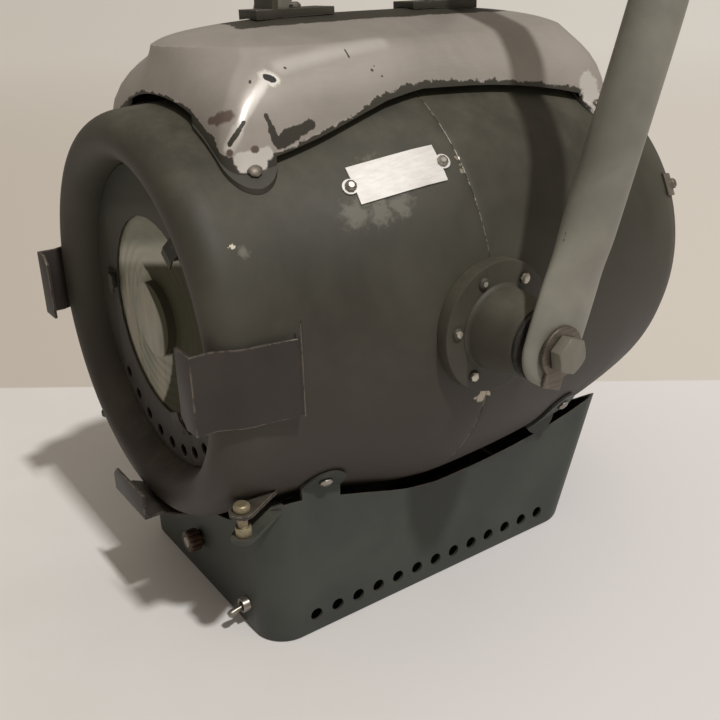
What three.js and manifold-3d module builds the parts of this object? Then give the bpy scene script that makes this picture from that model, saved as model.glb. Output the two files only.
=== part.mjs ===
// Film studio spotlight: a barrel-shaped steel housing with a stepped lens, standing on a vented base
// box and carried by a tilting tubular yoke.
//
// Millimetres, +Z up. The lens looks along -Y and +X is the side with the nameplate. The origin lies on
// the base's underside, below the middle of the barrel's axis. Inside the housing group the barrel's
// axis is the Y axis, so a point there is measured from that axis.

import * as THREE from "three";
import { mergeVertices } from "three/addons/utils/BufferGeometryUtils.js";
import Module from "manifold-3d";

const wasm = await Module();
wasm.setup();

// General fits and resolution
const FIT = 0.3;
const OVERRUN = 5;
const TURN = 2 * Math.PI;
const BARREL_SEGMENTS = 36;
const LENS_SEGMENTS = 28;
const ROUND_SEGMENTS = 20;
const SMALL_SEGMENTS = 12;
const HOLE_SEGMENTS = 8;
const HEX_SEGMENTS = 6;
const QUARTER_STEPS = 4;

// Barrel housing
const BARREL_RADIUS = 150;
const BARREL_LIFT = 53;
const AXIS_HEIGHT = BARREL_RADIUS + BARREL_LIFT;
const FRONT_LENGTH = 146;
const FRONT_DRAW_IN = 22;
const FRONT_RADIUS = BARREL_RADIUS - FRONT_DRAW_IN;
const REAR_LENGTH = 186;
const REAR_DRAW_IN = 23;
const REAR_RADIUS = BARREL_RADIUS - REAR_DRAW_IN;
const DOME_LENGTH = 56;
const SHELL_WALL = 2;
const ROLL_DEPTH = 21;
const ROLL_WIDTH = 31;
const LIP_RETURN = 5;
const SEAM_BAND_WIDTH = 24;
const SEAM_BAND_WALL = 2;

// Openings in the barrel below the cap and above the base
const TOP_VENT_WIDTH_SHARE = 0.73;
const FLOOR_VENT_WIDTH_SHARE = 0.93;
const TOP_VENT_WIDTH = BARREL_RADIUS * TOP_VENT_WIDTH_SHARE;
const FLOOR_VENT_WIDTH = BARREL_RADIUS * FLOOR_VENT_WIDTH_SHARE;
const TOP_VENT_FRONT_INSET = 51;
const TOP_VENT_REAR_INSET = 56;
const FLOOR_VENT_FRONT_INSET = 38;
const FLOOR_VENT_REAR_INSET = 68;
const TOP_VENT_FRONT = FRONT_LENGTH - TOP_VENT_FRONT_INSET;
const TOP_VENT_REAR = REAR_LENGTH - TOP_VENT_REAR_INSET;
const FLOOR_VENT_FRONT = FRONT_LENGTH - FLOOR_VENT_FRONT_INSET;
const FLOOR_VENT_REAR = REAR_LENGTH - FLOOR_VENT_REAR_INSET;

// Lens and the plate that holds it
const PLATE_WALL = 1.6;
const PLATE_FLANGE = 8;
const PLATE_RECESS = 20;
const LENS_WINDOW_SHARE = 0.43;
const LENS_WINDOW_RADIUS = BARREL_RADIUS * LENS_WINDOW_SHARE;
const LENS_OVERLAP = 3.5;
const LENS_RADIUS = LENS_WINDOW_RADIUS + LENS_OVERLAP;
const LENS_EDGE = 6;
const LENS_STEP_RISE = 4;
const LENS_CROWN_RISE = 6;
const LENS_CROWN_SHARE = 0.35;
const LENS_CROWN_RADIUS = LENS_RADIUS * LENS_CROWN_SHARE;
const LENS_STEP_COUNT = 6;
const LENS_RING_WALL = 2;
const LENS_RING_DEPTH = 12;
const LENS_RING_LIP = 5;
const VENT_HOLE_RADIUS = 4.5;
const VENT_RING_INSET = 9.5;
const VENT_RING_RADIUS = FRONT_RADIUS - ROLL_WIDTH - VENT_RING_INSET;
const VENT_HOLE_COUNT = 9;
const VENT_HOLE_TURN_SHARE = 1 / 30;
const CLIP_COUNT = 3;
const CLIP_WIDTH = 12;
const CLIP_LENGTH = 16;
const CLIP_WALL = 1.2;
const CLIP_REACH = 5;
const CLIP_HEAD_RADIUS = 3;
const CLIP_HEAD_RISE = 1.8;
const CLIP_START_SHARE = 172 / 360;

// Accessory brackets
const BRACKET_INSET = 8;
const BRACKET_RADIUS = FRONT_RADIUS - BRACKET_INSET;
const BRACKET_WIDTH = 45;
const BRACKET_WALL = 2;
const BRACKET_SLOT = 12;
const BRACKET_LIP = 15;
const BRACKET_TAIL = 22;
const BRACKET_TAIL_RISE = 2.5;
const BRACKET_FLARE = 2;
const BRACKET_FLARE_REACH = 1;
const BRACKET_CORNER_CUT = 6;
const BOTTOM_BRACKET_WIDTH = 50;

// Hubs and pivot
const PIVOT_RISE = 4;
const HUB_RADIUS = 40;
const HUB_RISE = 2.4;
const HUB_FACE = BARREL_RADIUS + HUB_RISE;
const HUB_ROOT_DEPTH = 16;
const HUB_EDGE_ROUND = 1.5;
const HUB_SCREW_CIRCLE = 32;
const HUB_SCREW_COUNT = 6;
const HUB_SCREW_HEAD = 3.6;
const HUB_SCREW_RISE = 2.2;
const BOSS_ROOT_RADIUS = 25;
const BOSS_TIP_RADIUS = 22;
const BOSS_LENGTH = 32;
const BOSS_FACE = HUB_FACE + BOSS_LENGTH;
const BOSS_ROUND = 3;
const FRICTION_WALL = 2.7;
const FRICTION_RADIUS = 21;
const BOLT_RADIUS = 6;
const BOLT_HEAD_FLAT = 19;
const BOLT_HEAD_HEIGHT = 7.5;
const WASHER_RADIUS = 15;
const WASHER_WALL = 2.5;
const WASHER_TAB_LENGTH = 21;
const WASHER_TAB_WIDTH = 14;
const NUT_FLAT = 19;
const NUT_HEIGHT = 10;
const NUT_STANDOFF = 4;

// Yoke
const YOKE_TUBE_RADIUS = 15;
const YOKE_FLAT_THICKNESS = 12;
const YOKE_FLAT_WIDTH = 44;
const YOKE_FLAT_REACH = 30;
const YOKE_BLEND = 38;
const YOKE_SWING_CLEARANCE = 33;
const YOKE_HEIGHT = REAR_LENGTH + DOME_LENGTH + YOKE_SWING_CLEARANCE;
const YOKE_BEND_RADIUS = 88;
const YOKE_LEAN_SHARE = 20 / 360;
const YOKE_SADDLE_LENGTH = 60;
const YOKE_SADDLE_HOLE_RADIUS = 6.5;
const YOKE_RING_POINTS = 12;
const YOKE_TUBE_WALL = 2.5;
const YOKE_BEND_STEPS = 6;

// Top vent cap
const CAP_WIDTH_SHARE = 0.56;
const CAP_RIDGE_WIDTH_SHARE = 0.44;
const CAP_HALF_WIDTH = BARREL_RADIUS * CAP_WIDTH_SHARE;
const CAP_RIDGE_HALF_WIDTH = BARREL_RADIUS * CAP_RIDGE_WIDTH_SHARE;
const CAP_FRONT_INSET = 12;
const CAP_REAR_INSET = 22;
const CAP_HALF_LENGTH = (FRONT_LENGTH - CAP_FRONT_INSET + REAR_LENGTH - CAP_REAR_INSET) / 2;
const CAP_CENTRE = (REAR_LENGTH - CAP_REAR_INSET - FRONT_LENGTH + CAP_FRONT_INSET) / 2;
const CAP_RIDGE_DRAW_IN = 4;
const CAP_RIDGE_HALF_LENGTH = CAP_HALF_LENGTH - CAP_RIDGE_DRAW_IN;
const CAP_EDGE_DROP = 19;
const CAP_RIDGE_RISE = 7;
const CAP_CROWN_RISE = 23;
const CAP_EDGE_HEIGHT = BARREL_RADIUS - CAP_EDGE_DROP;
const CAP_RIDGE_HEIGHT = BARREL_RADIUS + CAP_RIDGE_RISE;
const CAP_CROWN_HEIGHT = BARREL_RADIUS + CAP_CROWN_RISE;
const CAP_CROWN_TAPER_SHARE = 0.8;
const CAP_WALL = 1.6;
const CAP_GAP = 8;
const CAP_SKIRT = 60;
const CAP_OUTLINE_POINTS = 36;
const CAP_EDGE_POWER = 6;
const CAP_RIDGE_POWER = 2.8;
const CAP_TAB_WIDTH = 32;
const CAP_TAB_REACH = 26;
const CAP_TAB_WALL = 2;
const CAP_TAB_OVERHANG = 10;
const CAP_TAB_INSET = 17;
const CAP_TAB_TIP = CAP_HALF_WIDTH + CAP_TAB_OVERHANG;
const CAP_TAB_FRONT = CAP_HALF_LENGTH - CAP_CENTRE - CAP_TAB_INSET;
const CAP_TAB_REAR = CAP_HALF_LENGTH + CAP_CENTRE - CAP_TAB_INSET;
const CAP_SCREW_INSET = 9.5;
const SCREW_HEAD_RADIUS = 4.5;
const SCREW_HEAD_RISE = 2.4;

// Carrying handle on the cap
const HANDLE_LENGTH = 150;
const HANDLE_CENTRE = 18;
const HANDLE_RISE = 52;
const HANDLE_WIDTH = 22;
const HANDLE_WALL = 4;
const HANDLE_BEND = 16;
const HANDLE_TOE = 11;
const HANDLE_HEEL = 44;
const HANDLE_SINK = 8;
const HANDLE_SCREW_RADIUS = 4;
const HANDLE_SCREW_RISE = 3;

// Base box
const BASE_WIDTH_SHARE = 0.64;
const BASE_HALF_WIDTH = BARREL_RADIUS * BASE_WIDTH_SHARE;
const BASE_FRONT_INSET = 12;
const BASE_REAR_INSET = 50;
const BASE_FRONT = FRONT_LENGTH - BASE_FRONT_INSET;
const BASE_REAR = REAR_LENGTH - BASE_REAR_INSET;
const BASE_REAR_FLARE = 35;
const BASE_FLARE_HEIGHT = 95;
const BASE_FRONT_CORNER = 22;
const BASE_REAR_CORNER = 25;
const BASE_WALL = 2;
const BASE_GAP = 8;
const BASE_TOP_SHARE = 0.44;
const BASE_TOP = BARREL_RADIUS * BASE_TOP_SHARE;
const BASE_HOLE_RADIUS = 4.5;
const BASE_HOLE_COUNT = 13;
const BASE_HOLE_PITCH = 16.7;
const BASE_HOLE_HEIGHT = 13.5;
const LUG_WIDTH = 28;
const LUG_WALL = 2;
const LUG_LENGTH = 45;
const LUG_SCREW_SHARE = 1.1;
const LUG_TOP_SHARE = 0.533;
const LUG_TOP = BARREL_RADIUS * LUG_TOP_SHARE;
const LUG_FOOT = LUG_TOP + LUG_LENGTH;
const LUG_SCREW_DROP = LUG_TOP * LUG_SCREW_SHARE;
const LUG_FRONT_INSET = 54;
const LUG_REAR_INSET = 88;
const LUG_FRONT_PLACE = FRONT_LENGTH - LUG_FRONT_INSET;
const LUG_REAR_PLACE = REAR_LENGTH - LUG_REAR_INSET;

// Front latch bolts between the housing and the base
const LATCH_STANDOFF = 4.25;
const LATCH_TURN_SHARE = 38.15 / 360;
const LATCH_LENGTH = 25.8;
const LATCH_END = 2;
const LATCH_FRONT = 5;
const LATCH_X = (FRONT_RADIUS + LATCH_STANDOFF) * Math.cos(TURN * LATCH_TURN_SHARE);
const LATCH_TOP = (FRONT_RADIUS + LATCH_STANDOFF) * Math.sin(TURN * LATCH_TURN_SHARE);
const LATCH_BOTTOM = LATCH_TOP + LATCH_LENGTH;
const LATCH_Y = FRONT_LENGTH + LATCH_FRONT;
const LATCH_SHANK_RADIUS = 3;
const LATCH_HEAD_RADIUS = 5;
const LATCH_HEAD_HEIGHT = 4.5;
const LATCH_CROWN_SHARE = 0.8;
const LATCH_NUT_RADIUS = 4.8;
const LATCH_NUT_HEIGHT = 6;
const LATCH_EAR_WALL = 2.5;
const LATCH_EAR_WIDTH = 15;
const LATCH_BASE_EAR_REACH = 32;
const LATCH_SHELL_EAR_REACH = 26;
const LATCH_EAR_TURN_SHARE = 60 / 360;

// Focus drive inside the base
const KNOB_HEIGHT = 36;
const KNOB_RADIUS = 8;
const KNOB_LENGTH = 10.5;
const KNOB_HEEL_SHARE = 0.75;
const KNOB_FACE_SHARE = 0.85;
const KNOB_STANDOFF = 1;
const KNOB_FLUTE_COUNT = 12;
const KNOB_FLUTE_RADIUS = 1;
const SCREW_RADIUS = 4;
const BUSH_RADIUS = 8;
const BUSH_WALL = 3;
const BEARING_WALL = 4;
const BEARING_WIDTH = 26;
const ROD_RADIUS = 4;
const ROD_SPREAD = 44;
const ROD_FRONT_INSET = 24;
const ROD_REAR_INSET = 36;
const SCREW_REAR_INSET = 12;
const ROD_FRONT = BASE_FRONT - ROD_FRONT_INSET;
const ROD_REAR = BASE_REAR - ROD_REAR_INSET;
const SCREW_REAR = ROD_REAR - SCREW_REAR_INSET;
const RAIL_END_WALL = 4;
const RAIL_END_HEIGHT = 18;
const CARRIAGE_LENGTH = 46;
const CARRIAGE_WIDTH = 112;
const CARRIAGE_WALL = 4;
const CARRIAGE_BLOCK = 20;
const LAMP_PLACE = 30;
const STEM_WIDTH = 20;
const STEM_WALL = 8;
const SOCKET_DEPTH = 84;
const SOCKET_RADIUS = 19;
const SOCKET_HEIGHT = 26;
const SOCKET_FOOT_SHARE = 0.8;

// Lamp and reflector
const BULB_RADIUS = 19;
const BULB_TOP = 46;
const BULB_NECK_RADIUS = 12;
const LAMP_CAP_RADIUS = 13;
const LAMP_CAP_HEIGHT = 16;
const REFLECTOR_RADIUS = 68;
const REFLECTOR_APERTURE = 55;
const REFLECTOR_WALL = 1.6;
const REFLECTOR_ARM_WIDTH = 18;
const REFLECTOR_ARM_WALL = 4;

// Switch, cable gland, terminal block and rear clip
const SWITCH_INSET = 31.4;
const SWITCH_X = BASE_HALF_WIDTH - SWITCH_INSET;
const SWITCH_HEIGHT = 19;
const SWITCH_BODY_WIDTH = 14;
const SWITCH_BODY_HEIGHT = 22;
const SWITCH_BODY_DEPTH = 20;
const SWITCH_NECK_RADIUS = 5;
const SWITCH_NECK_LENGTH = 5;
const SWITCH_NECK_WALL = 1;
const SWITCH_LEVER_RADIUS = 2;
const SWITCH_LEVER_PLAY = 1.2;
const SWITCH_LEVER_LENGTH = 10;
const SWITCH_TIP_RADIUS = 2.7;
const SWITCH_ROOT_SHARE = 0.8;
const SWITCH_TIP_SHARE = 0.7;
const SWITCH_THROW_SHARE = 13 / 360;
const GLAND_X = 50;
const GLAND_HEIGHT = 30;
const GLAND_FLAT = 24;
const GLAND_FLANGE = 6;
const GLAND_NOSE = 14;
const GLAND_NOSE_RADIUS = 9;
const GLAND_COLLAR = 1;
const GLAND_TIP_SHARE = 0.8;
const GLAND_BORE_RADIUS = 4.5;
const GLAND_THREAD_RADIUS = 8;
const GLAND_NUT_HEIGHT = 5;
const TERMINAL_LENGTH = 46;
const TERMINAL_WIDTH = 22;
const TERMINAL_HEIGHT = 18;
const TERMINAL_POLES = 3;
const TERMINAL_INSET = 21;
const TERMINAL_X = BASE_HALF_WIDTH - TERMINAL_INSET;
const TERMINAL_Y = 62;
const TERMINAL_GROOVE = 2;
const TERMINAL_GROOVE_SHARE = 0.6;
const REAR_CLIP_OFFSET = 20;
const REAR_CLIP_PLACE = REAR_LENGTH + REAR_CLIP_OFFSET;
const REAR_CLIP_TURN_SHARE = 25 / 360;
const REAR_CLIP_WIDTH = 16;
const REAR_CLIP_LENGTH = 28;
const REAR_CLIP_WALL = 2.5;
const REAR_CLIP_SCREW = 4;
const REAR_CLIP_RISE = 3;

// Nameplate
const NAMEPLATE_LENGTH = 54;
const NAMEPLATE_HEIGHT = 23;
const NAMEPLATE_EAR = 5;
const NAMEPLATE_EAR_HEIGHT = 13;
const NAMEPLATE_WALL = 0.8;
const NAMEPLATE_PLACE = 41;
const NAMEPLATE_TURN_SHARE = 40 / 360;
const NAMEPLATE_SCREW_RADIUS = 3.4;
const NAMEPLATE_SCREW_RISE = 2;

// How far the barrel has drawn in from its widest place, as shares of the length and of the whole drop
const FRONT_TAPER_SHARES = [[0, 0], [0.18, 0.13], [0.36, 0.39], [0.54, 0.65], [0.72, 0.85], [0.88, 0.95], [1, 1]];
const REAR_TAPER_SHARES = [[0, 0], [0.2, 0.04], [0.4, 0.14], [0.6, 0.32], [0.8, 0.6], [1, 1]];
// The rear dome, as shares of its length and of the radius where it starts
const DOME_SHARES = [[0.25, 0.945], [0.45, 0.894], [0.64, 0.815], [0.8, 0.7], [0.93, 0.5], [0.98, 0.28], [1, 0]];
// The cap's section from its lower edge up: shares of the way from edge to ridge, then from ridge to crown
const CAP_SIDE_SHARES = [[0, 0], [0.5, 0.5], [1, 1]];
const CAP_TOP_SHARES = [[0.1, 0.2], [0.36, 0.5], [0.66, 0.8], [0.9, 1]];

// Finishes
function finish(color, roughness, metalness) {
  return new THREE.MeshStandardMaterial({ color, roughness, metalness });
}
const olivePaint = finish(0x4b4639, 0.55, 0.2);
const greenPaint = finish(0x464b3f, 0.6, 0.2);
const capPaint = finish(0x8c827a, 0.45, 0.6);
const yokePaint = finish(0x767468, 0.5, 0.3);
const bareSteel = finish(0xa8a49c, 0.4, 0.9);
const aluminium = finish(0xe8e4da, 0.35, 0.9);
const brass = finish(0xb59a62, 0.4, 0.9);
const lensGlass = finish(0xb9c2b2, 0.08, 0);
const bulbGlass = finish(0xe6e8e6, 0.05, 0);
const mirrorFinish = finish(0xd8dadb, 0.08, 1);
const ceramic = finish(0xe2ddd2, 0.5, 0);
const bakelite = finish(0x4a2f1f, 0.4, 0);
const fibre = finish(0x2c2a27, 0.8, 0);

// A closed three.js geometry made into a solid, with its faces turned outwards
function toSolid(geometry) {
  const bare = geometry.clone();
  bare.deleteAttribute("normal");
  bare.deleteAttribute("uv");
  const merged = mergeVertices(bare);
  const index = merged.index.array;
  const place = merged.attributes.position.array;
  const triangles = [];
  let volume = 0;
  const a = new THREE.Vector3();
  const b = new THREE.Vector3();
  const c = new THREE.Vector3();
  for (let i = 0; i < index.length; i += 3) {
    const [p, q, r] = [index[i], index[i + 1], index[i + 2]];
    if (p === q || q === r || r === p) continue;
    triangles.push(p, q, r);
    a.fromArray(place, 3 * p);
    b.fromArray(place, 3 * q);
    c.fromArray(place, 3 * r);
    volume += a.dot(b.cross(c));
  }
  if (volume < 0) triangles.reverse();
  const mesh = new wasm.Mesh({
    numProp: 3,
    vertProperties: Float32Array.from(place),
    triVerts: Uint32Array.from(triangles),
  });
  return new wasm.Manifold(mesh);
}

function toGeometry(solid) {
  const mesh = solid.getMesh();
  const geometry = new THREE.BufferGeometry();
  geometry.setAttribute("position", new THREE.BufferAttribute(mesh.vertProperties, 3));
  geometry.setIndex(new THREE.BufferAttribute(mesh.triVerts, 1));
  const flat = geometry.toNonIndexed();
  flat.computeVertexNormals();
  return flat;
}

function moved(geometry, x, y, z) {
  return geometry.translate(x, y, z);
}

// Primitive solids
function block(width, depth, height, x, y, z) {
  return toSolid(moved(new THREE.BoxGeometry(width, depth, height), x, y, z));
}

// A profile of [radius, place] points spun about the Y, X or Z axis
function latheGeometry(profile, segments) {
  const points = profile.map(([radius, place]) => new THREE.Vector2(radius, place));
  return new THREE.LatheGeometry(points, segments);
}

function spunAboutY(profile, segments) {
  return toSolid(latheGeometry(profile, segments));
}

function spunAboutX(profile, segments) {
  return toSolid(latheGeometry(profile, segments).rotateZ(-TURN / 4));
}

function spunAboutZ(profile, segments) {
  return toSolid(latheGeometry(profile, segments).rotateX(TURN / 4));
}

function rod(radius, from, to) {
  return [[0, from], [radius, from], [radius, to], [0, to]];
}

function tube(inner, outer, from, to) {
  return [[inner, from], [outer, from], [outer, to], [inner, to], [inner, from]];
}

function shapeOf(points) {
  return new THREE.Shape(points.map(([x, y]) => new THREE.Vector2(x, y)));
}

function extruded(shape, depth) {
  return new THREE.ExtrudeGeometry(shape, { depth, bevelEnabled: false, curveSegments: QUARTER_STEPS });
}

// An outline drawn in Y and Z, extruded along X from x
function extrudedAlongX(shape, x, depth) {
  const geometry = extruded(shape, depth);
  const turned = new THREE.Matrix4().makeBasis(
    new THREE.Vector3(0, 1, 0), new THREE.Vector3(0, 0, 1), new THREE.Vector3(1, 0, 0));
  return toSolid(moved(geometry.applyMatrix4(turned), x, 0, 0));
}

function extrudedAlongZ(shape, z, depth) {
  return toSolid(moved(extruded(shape, depth), 0, 0, z));
}

// A closed solid through a row of rings, each ring a list of the same number of points
function loft(rings) {
  const count = rings[0].length;
  const place = [];
  const index = [];
  for (const ring of rings) {
    for (const point of ring) place.push(point.x, point.y, point.z);
  }
  for (let r = 0; r + 1 < rings.length; r += 1) {
    for (let i = 0; i < count; i += 1) {
      const a = r * count + i;
      const b = r * count + (i + 1) % count;
      index.push(a, b, a + count, b, b + count, a + count);
    }
  }
  for (const [r, turned] of [[0, true], [rings.length - 1, false]]) {
    const centre = new THREE.Vector3();
    for (const point of rings[r]) centre.addScaledVector(point, 1 / count);
    const middle = place.length / 3;
    place.push(centre.x, centre.y, centre.z);
    for (let i = 0; i < count; i += 1) {
      const a = r * count + i;
      const b = r * count + (i + 1) % count;
      if (turned) index.push(a, middle, b);
      else index.push(a, b, middle);
    }
  }
  const geometry = new THREE.BufferGeometry();
  geometry.setAttribute("position", new THREE.Float32BufferAttribute(place, 3));
  geometry.setIndex(index);
  return toSolid(geometry);
}

function hexPoints(acrossFlats) {
  const corner = acrossFlats / Math.sqrt(3);
  const points = [];
  for (let i = 0; i < HEX_SEGMENTS; i += 1) {
    const angle = TURN * i / HEX_SEGMENTS;
    points.push([corner * Math.cos(angle), corner * Math.sin(angle)]);
  }
  return points;
}

// A round-headed screw standing on the plane z = 0, sunk by its root
function screwHead(radius, rise, root) {
  const profile = [[0, -root], [radius, -root], [radius, rise / 2], [radius / 2, rise], [0, rise]];
  return latheGeometry(profile, HOLE_SEGMENTS).rotateX(TURN / 4);
}

// The barrel's outline from the front rim's side to the rear dome's tip, as [radius, y] points
function taperPoints(shares, length, radius, direction) {
  return shares.map(([along, drop]) => [
    BARREL_RADIUS - drop * (BARREL_RADIUS - radius),
    direction * along * length,
  ]);
}

function domePoints() {
  return DOME_SHARES.map(([along, radius]) => [REAR_RADIUS * radius, REAR_LENGTH + DOME_LENGTH * along]);
}

function frontPoints() {
  return taperPoints(FRONT_TAPER_SHARES, FRONT_LENGTH, FRONT_RADIUS, -1);
}

function rearPoints() {
  return taperPoints(REAR_TAPER_SHARES, REAR_LENGTH, REAR_RADIUS, 1).concat(domePoints());
}

// The rolled front rim, from the barrel's side over the front and back to the lens recess
function rollPoints(inset) {
  const middle = FRONT_RADIUS - ROLL_WIDTH / 2;
  const steps = 2 * QUARTER_STEPS + 1;
  const points = [];
  for (let i = 0; i <= steps; i += 1) {
    const angle = Math.PI * i / steps;
    const radius = middle + (ROLL_WIDTH / 2 - inset) * Math.cos(angle);
    points.push([radius, -FRONT_LENGTH - (ROLL_DEPTH - inset) * Math.sin(angle)]);
  }
  return points;
}

// The barrel's outer radius at a place along its axis
function barrelRadius(y) {
  const points = frontPoints().reverse().concat(rearPoints().slice(1));
  for (let i = 1; i < points.length; i += 1) {
    const [r0, y0] = points[i - 1];
    const [r1, y1] = points[i];
    if (y <= y1) return r0 + (r1 - r0) * (y - y0) / (y1 - y0);
  }
  return 0;
}

// The whole barrel as one solid, grown by a clearance
function barrelSolid(grow) {
  const front = frontPoints().reverse().map(([radius, y]) => [radius + grow, y]);
  const rear = rearPoints().slice(1).map(([radius, y]) => [radius > 0 ? radius + grow : 0, y]);
  rear[rear.length - 1][1] += grow;
  const face = -FRONT_LENGTH - ROLL_DEPTH;
  return spunAboutY([[0, face], [FRONT_RADIUS + grow, face], ...front, ...rear], BARREL_SEGMENTS);
}

// A sheet that lies on the barrel
function barrelLayer(wall) {
  return barrelSolid(FIT + wall).subtract(barrelSolid(FIT));
}

const barrelWithFit = barrelSolid(FIT);

function topVentCut() {
  const length = TOP_VENT_FRONT + TOP_VENT_REAR;
  return block(TOP_VENT_WIDTH, length, BARREL_RADIUS, 0, (TOP_VENT_REAR - TOP_VENT_FRONT) / 2, BARREL_RADIUS);
}

function floorVentCut() {
  const length = FLOOR_VENT_FRONT + FLOOR_VENT_REAR;
  return block(FLOOR_VENT_WIDTH, length, BARREL_RADIUS, 0, (FLOOR_VENT_REAR - FLOOR_VENT_FRONT) / 2, -BARREL_RADIUS);
}

function ventCuts() {
  return topVentCut().add(floorVentCut());
}

function pivotHole(radius) {
  const profile = rod(radius, -BARREL_RADIUS - OVERRUN, BARREL_RADIUS + OVERRUN);
  const geometry = latheGeometry(profile, SMALL_SEGMENTS).rotateZ(-TURN / 4);
  return toSolid(moved(geometry, 0, 0, PIVOT_RISE));
}

// The front half: taper, rolled rim and the lip that returns into the lens recess
function frontShell() {
  const outer = frontPoints();
  outer[0][1] = -FIT / 2;
  const roll = rollPoints(0).slice(1);
  const lip = FRONT_RADIUS - ROLL_WIDTH;
  const innerRoll = rollPoints(SHELL_WALL).reverse();
  const inner = frontPoints().slice(1, -1).reverse().map(([radius, y]) => [radius - SHELL_WALL, y]);
  const profile = [
    ...outer,
    ...roll,
    [lip, -FRONT_LENGTH + LIP_RETURN],
    [lip + SHELL_WALL, -FRONT_LENGTH + LIP_RETURN],
    ...innerRoll,
    ...inner,
    [BARREL_RADIUS - SHELL_WALL, -FIT / 2],
  ];
  profile.push(profile[0]);
  const shell = spunAboutY(profile, BARREL_SEGMENTS);
  return shell.subtract(ventCuts()).subtract(pivotHole(BOLT_RADIUS + FIT)).add(shellEars());
}

// The rear half: taper and dome
function rearShell() {
  const outer = rearPoints();
  outer[0][1] = FIT / 2;
  const inner = rearPoints().slice(1, -1).reverse().map(([radius, y]) => [radius - SHELL_WALL, y]);
  const tip = REAR_LENGTH + DOME_LENGTH - SHELL_WALL;
  const [lastRadius, lastPlace] = inner[0];
  inner[0] = [lastRadius, Math.min(lastPlace, tip)];
  const innerPoints = inner.map(([radius, y]) => [radius, y > REAR_LENGTH ? y - SHELL_WALL / 2 : y]);
  const profile = [...outer, [0, tip], ...innerPoints, [BARREL_RADIUS - SHELL_WALL, FIT / 2]];
  profile.push(profile[0]);
  const shell = spunAboutY(profile, BARREL_SEGMENTS);
  return shell.subtract(ventCuts()).subtract(pivotHole(BOLT_RADIUS + FIT));
}

// The strap inside the seam that joins the two halves
function seamBand() {
  const outer = BARREL_RADIUS - SHELL_WALL - 2 * FIT;
  const drop = BARREL_RADIUS - barrelRadius(-SEAM_BAND_WIDTH / 2);
  const half = SEAM_BAND_WIDTH / 2;
  const profile = tube(outer - drop - SEAM_BAND_WALL, outer - drop, -half, half);
  return spunAboutY(profile, BARREL_SEGMENTS).subtract(floorVentCut()).subtract(pivotHole(BOLT_RADIUS + FIT));
}

// The pressed plate at the bottom of the recess, with the lens window and cooling holes below it
function lensPlate() {
  const front = -FRONT_LENGTH - ROLL_DEPTH + PLATE_RECESS;
  const rim = FRONT_RADIUS - ROLL_WIDTH - FIT;
  const profile = [
    [LENS_WINDOW_RADIUS, front],
    [rim, front],
    [rim, front + PLATE_FLANGE],
    [rim - PLATE_WALL, front + PLATE_FLANGE],
    [rim - PLATE_WALL, front + PLATE_WALL],
    [LENS_WINDOW_RADIUS, front + PLATE_WALL],
    [LENS_WINDOW_RADIUS, front],
  ];
  let plate = spunAboutY(profile, BARREL_SEGMENTS);
  for (let i = 0; i < VENT_HOLE_COUNT; i += 1) {
    const angle = -TURN / 4 + TURN * VENT_HOLE_TURN_SHARE * (i - (VENT_HOLE_COUNT - 1) / 2);
    const hole = latheGeometry(rod(VENT_HOLE_RADIUS, front - OVERRUN, front + OVERRUN), HOLE_SEGMENTS);
    const x = VENT_RING_RADIUS * Math.cos(angle);
    const z = VENT_RING_RADIUS * Math.sin(angle);
    plate = plate.subtract(toSolid(moved(hole, x, 0, z)));
  }
  return plate;
}

const plateFront = -FRONT_LENGTH - ROLL_DEPTH + PLATE_RECESS;
const lensEdgeFront = plateFront + PLATE_WALL + FIT;

// The stepped lens: each step is a sloped ring with a short riser, round a domed centre
function lensProfile() {
  const back = lensEdgeFront + LENS_EDGE;
  const points = [[0, lensEdgeFront - LENS_CROWN_RISE]];
  const crownSteps = QUARTER_STEPS;
  for (let i = 1; i <= crownSteps; i += 1) {
    const share = i / crownSteps;
    const radius = LENS_CROWN_RADIUS * share;
    points.push([radius, lensEdgeFront - LENS_CROWN_RISE + LENS_STEP_RISE * share * share]);
  }
  const stepWidth = (LENS_WINDOW_RADIUS - FIT - LENS_CROWN_RADIUS) / LENS_STEP_COUNT;
  for (let i = 0; i < LENS_STEP_COUNT; i += 1) {
    const start = LENS_CROWN_RADIUS + i * stepWidth;
    points.push([start + stepWidth / 12, lensEdgeFront - LENS_STEP_RISE]);
    points.push([start + stepWidth, lensEdgeFront]);
  }
  points.push([LENS_RADIUS, lensEdgeFront], [LENS_RADIUS, back], [0, back]);
  return points;
}

function lens() {
  return spunAboutY(lensProfile(), LENS_SEGMENTS);
}

// The cup behind the plate that holds the lens at its edge
function lensRing() {
  const inner = LENS_RADIUS + FIT;
  const outer = inner + LENS_RING_WALL;
  const front = lensEdgeFront;
  const seat = lensEdgeFront + LENS_EDGE + FIT;
  const profile = [
    [inner, front],
    [outer, front],
    [outer, front + LENS_RING_DEPTH],
    [inner - LENS_RING_LIP, front + LENS_RING_DEPTH],
    [inner - LENS_RING_LIP, seat],
    [inner, seat],
    [inner, front],
  ];
  return spunAboutY(profile, BARREL_SEGMENTS);
}

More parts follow.
